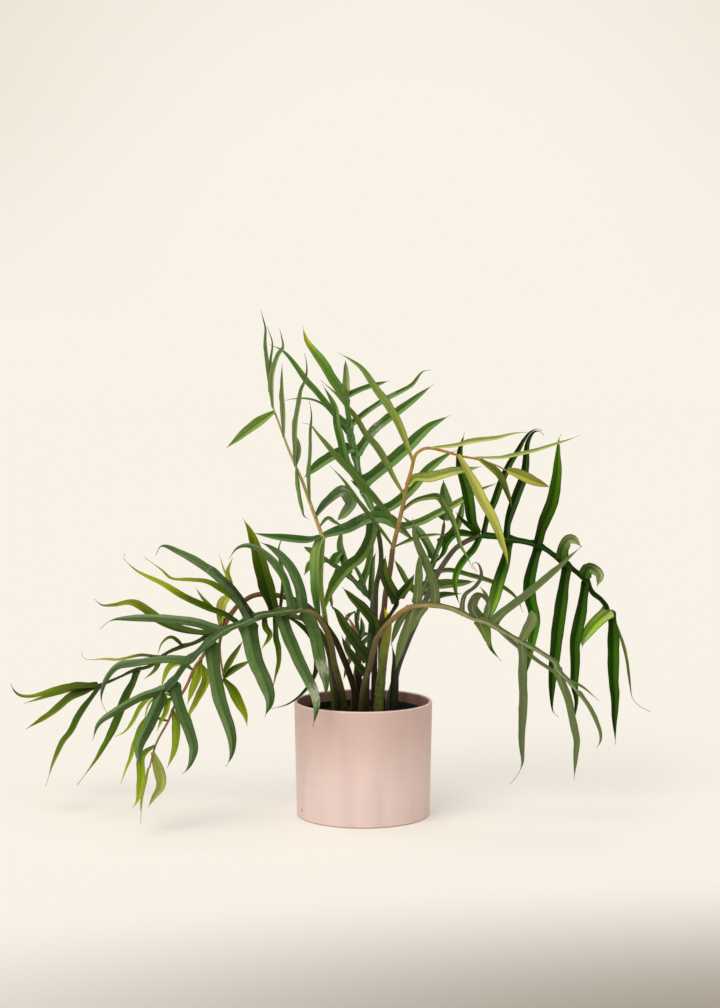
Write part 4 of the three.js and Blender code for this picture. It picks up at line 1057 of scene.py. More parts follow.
# Fronds, from the root up, as in the construction: petiole and ribs with start and end radius, the way the
# upper side faces, and the leaflets, each a width and a line from the rib to the tip. All in millimetres, as
# seen from in front.
fronds = [
    {
        "name": "frond_left_front", "face": [-0.15, -0.75, 0.65],
        "petioleRadii": [4.5, 3.4], "ribRadii": [3, 1.2],
        "petiole": [[-24, 138, -25], [-30, 170], [-38, 200], [-42, 225], [-50, 245], [-62, 262],
            [-78, 268, -60]],
        "ribs": [[[-78, 268, -60], [-98, 266], [-116, 263], [-136, 260], [-151, 252, -100], [-175, 243],
            [-195, 230], [-215, 212], [-230, 198, -130], [-245, 178], [-262, 160, -140]]],
        "leaflets": [
            [15, [-76, 270], [-66, 245], [-57, 205], [-49, 175], [-49, 151, -92]],
            [14, [-107, 264], [-98, 235], [-81, 197], [-64, 160], [-61, 142], [-66, 114, -116]],
            [18, [-150, 252], [-142, 209], [-133, 187], [-122, 149], [-129, 127, -138]],
            [15, [-200, 226], [-195, 190], [-187, 150], [-175, 115], [-171, 95], [-173, 75],
                [-180, 62, -164]],
            [13, [-247, 172], [-240, 140], [-228, 110], [-222, 85], [-228, 62], [-237, 52, -178]],
            [14, [-262, 160], [-280, 120], [-293, 90], [-293, 70], [-290, 60, -172]],
            [10, [-258, 165], [-290, 155], [-320, 138], [-345, 120], [-354, 97, -152]],
            [12, [-80, 269], [-81, 288], [-87, 310], [-96, 327], [-106, 339], [-121, 351], [-134, 357, -18]],
            [9, [-93, 267], [-97, 288], [-103, 310], [-113, 327], [-125, 340], [-137, 349], [-151, 353],
                [-164, 349], [-175, 335, -34]],
            [12, [-145, 256], [-165, 288], [-185, 310], [-205, 326], [-240, 345], [-262, 352],
                [-270, 340, -42]],
            [11, [-182, 240], [-215, 252], [-260, 258], [-300, 258], [-330, 254], [-343, 243, -70]],
            [11, [-225, 205], [-260, 205], [-300, 200], [-322, 195], [-337, 175], [-342, 150],
                [-335, 133, -104]],
        ],
    },
    {
        "name": "frond_left_behind", "face": [-0.3, -0.5, 0.8],
        "petioleRadii": [4.2, 3], "ribRadii": [2.8, 1.2],
        "petiole": [[-33, 138, -8], [-36, 170], [-42, 200], [-49, 225], [-59, 243], [-73, 254], [-90, 260],
            [-108, 264, 0]],
        "ribs": [[[-108, 264, 0], [-130, 259], [-150, 252], [-190, 240], [-217, 226, 22], [-237, 219],
            [-255, 212], [-276, 195], [-300, 188], [-318, 180], [-335, 172], [-352, 166, 84]]],
        "leaflets": [
            [18, [-113, 265], [-124, 297], [-131, 321], [-137, 342], [-147, 371], [-156, 388, -14]],
            [5, [-108, 265], [-105, 290], [-104, 312], [-108, 334], [-110, 343], [-108, 356],
                [-102, 366, 20]],
            [8, [-114, 264], [-113, 232], [-110, 218], [-110, 197], [-115, 179], [-119, 163, -8]],
            [9, [-160, 250], [-182, 263], [-199, 269], [-217, 277], [-237, 287], [-260, 302], [-276, 310],
                [-293, 319], [-303, 327], [-311, 336], [-310, 342, 36]],
            [8, [-145, 254], [-170, 285], [-187, 296], [-201, 304], [-224, 307], [-250, 310], [-261, 320],
                [-274, 330], [-284, 337, 12]],
            [13, [-200, 235], [-235, 241], [-265, 254], [-285, 270], [-302, 278], [-324, 275], [-340, 275],
                [-350, 283, 66]],
            [5, [-235, 220], [-250, 232], [-262, 225], [-268, 211, 24]],
            [6, [-262, 207], [-290, 208], [-318, 203], [-340, 204], [-361, 204], [-366, 208],
                [-367, 214, 92]],
            [12, [-345, 168], [-375, 167], [-400, 162], [-430, 155], [-447, 156], [-455, 162],
                [-460, 172, 104]],
            [9, [-352, 166], [-375, 163], [-410, 155], [-443, 146, 70]],
            [15, [-350, 167], [-362, 160], [-382, 152], [-400, 137], [-417, 126], [-441, 112, 44]],
            [11, [-341, 170], [-361, 143], [-372, 126], [-382, 107], [-392, 95], [-400, 80], [-407, 64],
                [-416, 36, 4]],
            [14, [-293, 189], [-301, 169], [-308, 155], [-318, 129], [-327, 107], [-338, 89], [-349, 72],
                [-361, 56], [-375, 38, -28]],
            [7, [-262, 207], [-270, 190], [-286, 178, 20]],
            [7, [-128, 259], [-126, 245], [-121, 235], [-133, 217, -4]],
            [7, [-108, 264], [-84, 250], [-66, 230], [-60, 205], [-62, 185], [-75, 163], [-98, 145],
                [-120, 139, -30]],
        ],
    },
    {
        "name": "frond_left_low", "face": [-0.45, -0.6, 0.65],
        "petioleRadii": [4.5, 3.2], "ribRadii": [3, 1.2],
        "petiole": [[-10, 138, -4], [-11, 160], [-20, 190], [-28, 210], [-38, 232, 1], [-55, 255, 5],
            [-75, 275], [-101, 285, 30], [-127, 289, 36], [-143, 287, 36], [-163, 275, 34]],
        "ribs": [
            [[-163, 275, 34], [-185, 248, 38], [-200, 224, 22], [-211, 205, -5], [-219, 194],
                [-231, 168, -40], [-247, 141], [-255, 122, -75], [-271, 92], [-280, 60, -105]],
            [[-165, 272, 34], [-178, 252, 36], [-187, 225, 34], [-182, 178, 24]],
        ],
        "leaflets": [
            [6, [-280, 60], [-284, 43], [-288, 28], [-291, 10], [-292, -14, -122]],
            [12, [-211, 205], [-215, 178], [-223, 161], [-230, 145, -25]],
            [8, [-214, 200], [-204, 182], [-208, 165], [-218, 147], [-227, 130], [-223, 120, -10]],
            [8, [-248, 137], [-243, 118], [-243, 101], [-246, 84], [-257, 60, -98]],
            [9, [-272, 90], [-288, 75], [-290, 46], [-293, 28], [-297, 15], [-303, 7, -108]],
            [9, [-275, 80], [-268, 60], [-264, 43], [-266, 33], [-274, 22], [-282, 8, -118]],
            [8, [-255, 122], [-280, 126], [-297, 95], [-304, 74], [-310, 60], [-318, 39, -96]],
            [10, [-222, 190], [-240, 198], [-252, 192], [-260, 178], [-264, 165, -48]],
            [7, [-243, 150], [-252, 150], [-258, 132], [-264, 122], [-270, 109, -88]],
            [8, [-238, 155], [-262, 162], [-275, 155], [-290, 140], [-300, 123], [-311, 109],
                [-324, 102, -72]],
            [4, [-241, 152], [-262, 157], [-278, 147], [-287, 122, -98]],
            [7, [-182, 178], [-171, 164], [-162, 148], [-154, 130], [-152, 115, 4]],
            [7, [-183, 178], [-168, 189], [-146, 203, 26]],
            [6, [-182, 182], [-175, 196], [-157, 228, 34]],
            [12, [-185, 249], [-184, 265], [-181, 280], [-172, 287, 42]],
            [8, [-164, 275], [-170, 292], [-173, 305], [-176, 317], [-170, 337, 46]],
            [3, [-163, 275], [-172, 300], [-182, 324], [-187, 341, 36]],
            [5, [-180, 256], [-198, 272], [-209, 284], [-218, 298, 30]],
        ],
    },
    {
        "name": "frond_top_left", "face": [-0.5, -0.75, 0.35],
        "petioleRadii": [4, 2.9], "ribRadii": [2.6, 1.1],
        "petiole": [[-38, 138, 13], [-41, 180], [-45, 220], [-50, 260, 23], [-55, 300], [-53, 350],
            [-52, 362, 26]],
        "ribs": [[[-52, 362, 26], [-61, 386], [-70, 411], [-79, 436], [-89, 459], [-98, 481], [-105, 500],
            [-112, 519], [-117, 533], [-121, 551, 66]]],
        "leaflets": [
            [7, [-121, 551], [-121, 566], [-123, 586], [-126, 614], [-126, 633], [-129, 645],
                [-132, 656, 80]],
            [15, [-115, 526], [-143, 505], [-178, 479, 30]],
            [5, [-120, 546], [-119, 575], [-119, 592], [-117, 614], [-124, 635, 50]],
            [9, [-116, 530], [-118, 566], [-115, 583], [-109, 600], [-103, 609], [-105, 621],
                [-108, 632, 24]],
            [8, [-102, 492], [-103, 530], [-105, 558], [-105, 588, 20]],
            [8, [-87, 456], [-88, 500], [-86, 519], [-82, 540], [-80, 554], [-74, 569], [-73, 586],
                [-76, 601, 10]],
            [10, [-87, 455], [-84, 478], [-87, 496, 50]],
            [7, [-68, 406], [-70, 446], [-68, 474], [-68, 500], [-67, 522], [-70, 540, 22]],
            [7, [-86, 452], [-84, 432], [-82, 415], [-79, 400], [-77, 391], [-71, 387, 14]],
            [10, [-62, 390], [-43, 411], [-26, 422], [-18, 415], [-15, 407], [-22, 397], [-35, 384, 6]],
            [5, [-57, 376], [-45, 388], [-37, 383], [-25, 377, 18]],
            [11, [-53, 364], [-70, 359], [-89, 360], [-117, 364], [-143, 369, 8]],
            [13, [-53, 364], [-20, 374], [10, 388], [34, 386], [60, 364], [70, 355, 22]],
            [11, [-53, 365], [-60, 345], [-62, 300], [-60, 275], [-55, 249, -14]],
        ],
    },
    {
        "name": "frond_centre_rear", "face": [0, -0.85, 0.5],
        "petioleRadii": [4.4, 3], "ribRadii": [2.6, 1.1],
        "petiole": [[14, 138, 22], [16, 278], [17, 300], [23, 330], [22, 355], [14, 393, 64]],
        "ribs": [[[14, 393, 64], [8, 407], [2, 421], [-5, 439], [-9, 464], [-16, 492], [-18, 512], [-21, 534],
            [-22, 548, 132]]],
        "leaflets": [
            [8, [-22, 548], [-22, 566], [-23, 593, 150]],
            [8, [-20, 545], [-1, 555], [17, 561], [33, 566, 144]],
            [7, [-17, 508], [13, 532], [31, 543], [48, 552], [63, 561], [77, 578], [87, 580, 164]],
            [10, [-10, 468], [13, 500], [33, 517], [44, 525], [69, 545], [91, 562, 150]],
            [13, [-2, 432], [24, 451], [44, 468], [61, 483], [73, 496], [87, 508], [113, 522, 128]],
            [11, [14, 393], [38, 404], [62, 425], [85, 452], [108, 470], [122, 477, 104]],
            [10, [15, 388], [47, 378], [74, 383], [94, 393], [115, 404], [129, 412], [151, 425],
                [177, 435, 116]],
            [12, [-22, 542], [-38, 566], [-49, 583], [-61, 600], [-73, 618], [-78, 636, 168]],
            [8, [-18, 505], [-32, 518], [-43, 530], [-59, 550], [-74, 566], [-87, 585], [-98, 599],
                [-106, 606], [-121, 613, 140]],
            [4, [-16, 492], [-50, 534], [-61, 540], [-75, 543], [-89, 543], [-101, 541, 158]],
            [10, [-3, 434], [-17, 452], [-24, 467], [-29, 488], [-34, 509], [-36, 529], [-41, 541],
                [-53, 562, 92]],
            [12, [-12, 480], [-40, 468], [-60, 455], [-78, 440, 66]],
            [5, [2, 421], [-8, 430], [-16, 438, 84]],
            [14, [14, 390], [9, 360], [-5, 336], [-19, 324], [-33, 308], [-41, 296], [-46, 285], [-50, 270],
                [-50, 259, 34]],
        ],
    },
    {
        "name": "frond_centre_tan", "face": [0.1, -0.9, 0.4],
        "petioleRadii": [4.6, 3.4], "ribRadii": [3.2, 0.9],
        "petiole": [[24, 138, 2], [24, 254], [27, 270], [29, 290], [35, 321], [38, 348, -10]],
        "ribs": [[[38, 348, -10], [42, 365], [48, 390], [53, 412], [57, 432], [62, 450], [67, 469, -50],
            [71, 474], [78, 478], [86, 479, -40], [108, 474], [126, 469], [150, 464], [171, 457],
            [192, 447, 36]]],
        "leaflets": [
            [16, [186, 450], [200, 445], [216, 438], [243, 428, 52]],
            [10, [64, 460], [55, 486], [44, 513], [31, 535], [17, 554], [5, 573], [-4, 584], [-18, 594],
                [-32, 602, -78]],
            [8, [54, 418], [41, 438], [30, 459], [17, 480], [3, 497], [-9, 517], [-22, 534], [-34, 548],
                [-55, 567, -66]],
            [10, [44, 376], [23, 404], [6, 422], [-11, 443], [-33, 466], [-47, 483], [-61, 500], [-68, 509],
                [-79, 512, -60]],
            [6, [39, 352], [23, 372], [9, 390], [-8, 412], [-26, 438], [-43, 456, -30]],
            [13, [122, 470], [136, 446], [147, 425], [158, 404], [168, 386], [177, 366], [180, 356],
                [185, 342], [189, 321, -48]],
            [9, [150, 464], [174, 446], [185, 425], [194, 398, 12]],
            [11, [57, 432], [66, 440], [85, 440], [110, 447], [125, 450], [143, 453], [154, 456, -2]],
            [5, [140, 466], [180, 467], [200, 471], [222, 476], [250, 485], [271, 492], [280, 496, -34]],
            [6, [86, 479], [122, 483], [136, 487], [157, 490], [172, 492], [194, 498], [213, 500, -70]],
            [8, [50, 398], [66, 410], [83, 415], [97, 415], [105, 404], [115, 387], [122, 367], [126, 353],
                [136, 336], [142, 322, -70]],
            [5, [39, 352], [59, 359], [80, 365], [97, 367], [108, 365, 4]],
        ],
    },
    {
        "name": "frond_right_rear", "face": [0.2, -0.75, 0.62],
        "petioleRadii": [4.6, 3.3], "ribRadii": [3, 1.1],
        "petiole": [[38, 138, 17], [44, 189], [57, 225], [69, 253], [83, 285], [96, 314], [108, 334],
            [119, 348], [130, 356], [149, 365, 52]],
        "ribs": [[[149, 365, 52], [173, 363], [187, 360], [201, 358], [216, 355], [228, 352], [236, 347],
            [250, 337], [264, 327], [278, 316], [289, 307], [297, 291], [308, 282], [316, 272],
            [321, 268, 92]]],
        "leaflets": [
            [14, [150, 365], [140, 383], [137, 404], [133, 425], [128, 442], [125, 453], [125, 474],
                [131, 500, 110]],
            [7, [150, 365], [143, 372], [130, 383], [120, 396, 44]],
            [9, [156, 365], [161, 390], [170, 411], [177, 432], [190, 460], [200, 476], [208, 490],
                [216, 500], [225, 504], [232, 502, 132]],
            [11, [185, 361], [187, 381], [193, 402], [201, 423], [208, 444], [210, 461], [211, 476],
                [214, 490], [221, 500], [228, 501], [234, 496, 112]],
            [15, [224, 353], [233, 381], [242, 402], [247, 423], [250, 444], [251, 458], [252, 476],
                [253, 490], [256, 497, 6]],
            [10, [256, 333], [258, 350], [268, 361], [277, 357], [283, 351, 50]],
            [9, [286, 309], [292, 323], [300, 320], [307, 313], [304, 299, 66]],
            [10, [321, 268], [302, 251], [287, 230], [285, 218, 56]],
            [5, [321, 268], [327, 251], [337, 226], [343, 203], [348, 170], [352, 152], [360, 143],
                [376, 134, 122]],
            [9, [151, 365], [120, 367], [108, 355], [104, 343], [91, 327, 28]],
            [9, [153, 365], [144, 348], [133, 336], [123, 321], [119, 305], [122, 285], [126, 275, 4]],
            [14, [189, 360], [184, 331], [176, 305], [168, 275], [160, 255], [162, 235], [166, 219],
                [180, 201, 10]],
            [15, [228, 352], [222, 335], [219, 324], [215, 303], [216, 282], [220, 267], [223, 253],
                [219, 225], [216, 204], [211, 177, 16]],
            [16, [263, 327], [261, 303], [257, 275], [253, 246], [250, 218], [247, 189], [246, 151],
                [248, 135], [255, 128, 26]],
            [15, [289, 307], [285, 282], [280, 253], [275, 225], [275, 196], [275, 168], [278, 150],
                [275, 118, 34]],
            [15, [321, 268], [324, 250], [325, 218], [325, 199], [326, 170], [328, 150], [328, 125],
                [330, 91, 48]],
        ],
    },
    {
        "name": "frond_right_front", "face": [0.1, 0.8, 0.55],
        "petioleRadii": [4.3, 3.3], "ribRadii": [3.1, 1.1],
        "petiole": [[-3, 138, -36], [2, 173], [8, 193], [13, 216], [17, 229], [26, 243], [37, 255], [50, 266],
            [63, 273, -64]],
        "ribs": [[[63, 273, -64], [77, 274], [90, 274], [113, 270], [142, 257], [163, 250, -96], [184, 238],
            [198, 230], [212, 222], [226, 215], [240, 206], [249, 199], [253, 189, -112], [268, 174],
            [278, 162, -116]]],
        "leaflets": [
            [6, [278, 162], [293, 143], [304, 122], [310, 106], [310, 96], [305, 86, -112]],
            [10, [92, 274], [93, 295], [84, 322], [74, 345], [67, 365], [64, 390, -112]],
            [10, [69, 273], [71, 300], [73, 330], [74, 345, -104]],
            [5, [128, 264], [132, 287], [146, 299], [153, 310], [153, 320], [148, 330], [141, 329],
                [147, 318, -122]],
            [10, [167, 248], [179, 262], [196, 275], [212, 287], [226, 299], [240, 311], [254, 324],
                [268, 338], [284, 352, -156]],
            [11, [205, 226], [212, 239], [217, 249], [220, 260], [219, 268, -136]],
            [10, [150, 255], [142, 272], [150, 287], [161, 280], [157, 268, -120]],
            [6, [160, 251], [164, 270], [159, 288], [152, 299, -84]],
            [6, [170, 246], [198, 222], [233, 197], [260, 180], [285, 168], [308, 149, -96]],
            [10, [206, 226], [208, 208], [208, 180], [209, 150], [208, 122], [207, 102], [208, 83], [208, 66],
                [201, 50], [192, 39, -70]],
            [9, [252, 194], [260, 170], [268, 149], [273, 125], [276, 110], [279, 96], [278, 77],
                [276, 44, -84]],
            [5, [253, 189], [262, 168], [272, 145, -92]],
            [10, [150, 255], [157, 240], [162, 228], [165, 220, -74]],
            [11, [67, 273], [58, 247], [50, 224], [45, 205], [42, 190, -44]],
            [8, [64, 273], [47, 252], [40, 235], [36, 222, -38]],
            [9, [80, 274], [70, 258], [63, 244], [60, 236, -52]],
        ],
    },
    {
        "name": "frond_centre_short", "face": [0.1, -0.9, 0.4],
        "petioleRadii": [3.4, 2.6], "ribRadii": [2.5, 1.2],
        "petiole": [[5, 138, -14], [3, 158], [3, 180, -19]],
        "ribs": [[[3, 180, -19], [8, 203], [16, 238], [30, 255], [43, 275], [46, 285, -32]]],
        "leaflets": [
            [8, [3, 184], [-7, 197], [-16, 211], [-24, 223], [-28, 235, -34]],
            [13, [8, 203], [-3, 216], [-12, 229], [-25, 248], [-35, 267], [-43, 275, -40]],
            [12, [16, 237], [13, 253], [2, 267], [-13, 283], [-27, 298, -38]],
            [14, [44, 279], [37, 290], [29, 307], [26, 320], [29, 339, -36]],
            [9, [46, 285], [50, 290], [60, 302], [66, 315, -34]],
        ],
    },
    {
        "name": "frond_rear_right", "face": [0.25, -0.75, 0.6],
        "petioleRadii": [4, 3], "ribRadii": [2.7, 1.1],
        "petiole": [[31, 138, 36], [44, 190], [60, 245], [76, 290, 86]],
        "ribs": [[[76, 290, 86], [84, 310], [92, 335], [102, 365], [105, 385, 130]]],
        "leaflets": [
            [14, [105, 385], [108, 404], [105, 418], [104, 438, 142]],
            [4, [105, 384], [102, 404], [94, 419], [86, 418, 120]],
            [7, [86, 316], [110, 320], [140, 313], [167, 305], [185, 296], [200, 283], [208, 265, 130]],
            [14, [78, 296], [88, 300], [100, 300], [122, 303], [145, 306, 104]],
            [8, [77, 292], [90, 285], [105, 288], [128, 290, 120]],
            [10, [76, 291], [64, 294], [56, 304], [48, 320], [40, 335, 72]],
            [5, [90, 328], [95, 345], [104, 362, 98]],
            [11, [92, 335], [84, 352], [70, 372], [50, 392, 168]],
            [10, [98, 352], [118, 372], [126, 392], [130, 415, 178]],
        ],
    },
    {
        "name": "frond_rear_left", "face": [-0.2, -0.8, 0.55],
        "petioleRadii": [3.8, 2.8], "ribRadii": [2.6, 1.1],
        "petiole": [[4, 138, 44], [6, 190], [9, 240], [12, 280, 90]],
        "ribs": [[[12, 280, 90], [-2, 296], [-16, 310], [-28, 320], [-40, 328], [-60, 341, 138]]],
        "leaflets": [
            [7, [-60, 341], [-69, 346], [-77, 351, 146]],
            [11, [-50, 334], [-60, 331], [-68, 327], [-77, 314, 122]],
            [10, [-38, 327], [-34, 338], [-25, 346, 142]],
            [5, [4, 290], [-2, 308], [-12, 326], [-25, 337, 128]],
            [7, [11, 282], [11, 308], [13, 333], [17, 345, 112]],
            [10, [-20, 313], [-24, 330], [-30, 352], [-28, 376, 176]],
            [9, [-4, 298], [6, 322], [10, 350], [6, 380, 168]],
            [9, [-30, 321], [-38, 308], [-42, 290], [-40, 268, 168]],
        ],
    },
    {
        "name": "frond_rear_low", "face": [0, -0.3, 0.95],
        "petioleRadii": [3.2, 2.4], "ribRadii": [2.2, 1],
        "petiole": [[-14, 138, 34], [-12, 170], [-8, 205, 78]],
        "ribs": [[[-8, 205, 78], [-6, 226], [-8, 246], [-11, 266, 132]]],
        "leaflets": [
            [9, [-11, 266], [-18, 260], [-24, 248, 146]],
            [6, [-7, 228], [-1, 240], [-3, 260, 120]],
            [5, [-9, 252], [-6, 268], [-3, 281, 130]],
            [8, [-8, 207], [-15, 203], [-21, 190], [-26, 178, 74]],
            [8, [-7, 216], [2, 226], [10, 238, 92]],
            [10, [-7, 232], [8, 236], [20, 226], [24, 206, 164]],
            [10, [-8, 244], [-16, 236], [-20, 220], [-18, 202, 172]],
        ],
    },
]

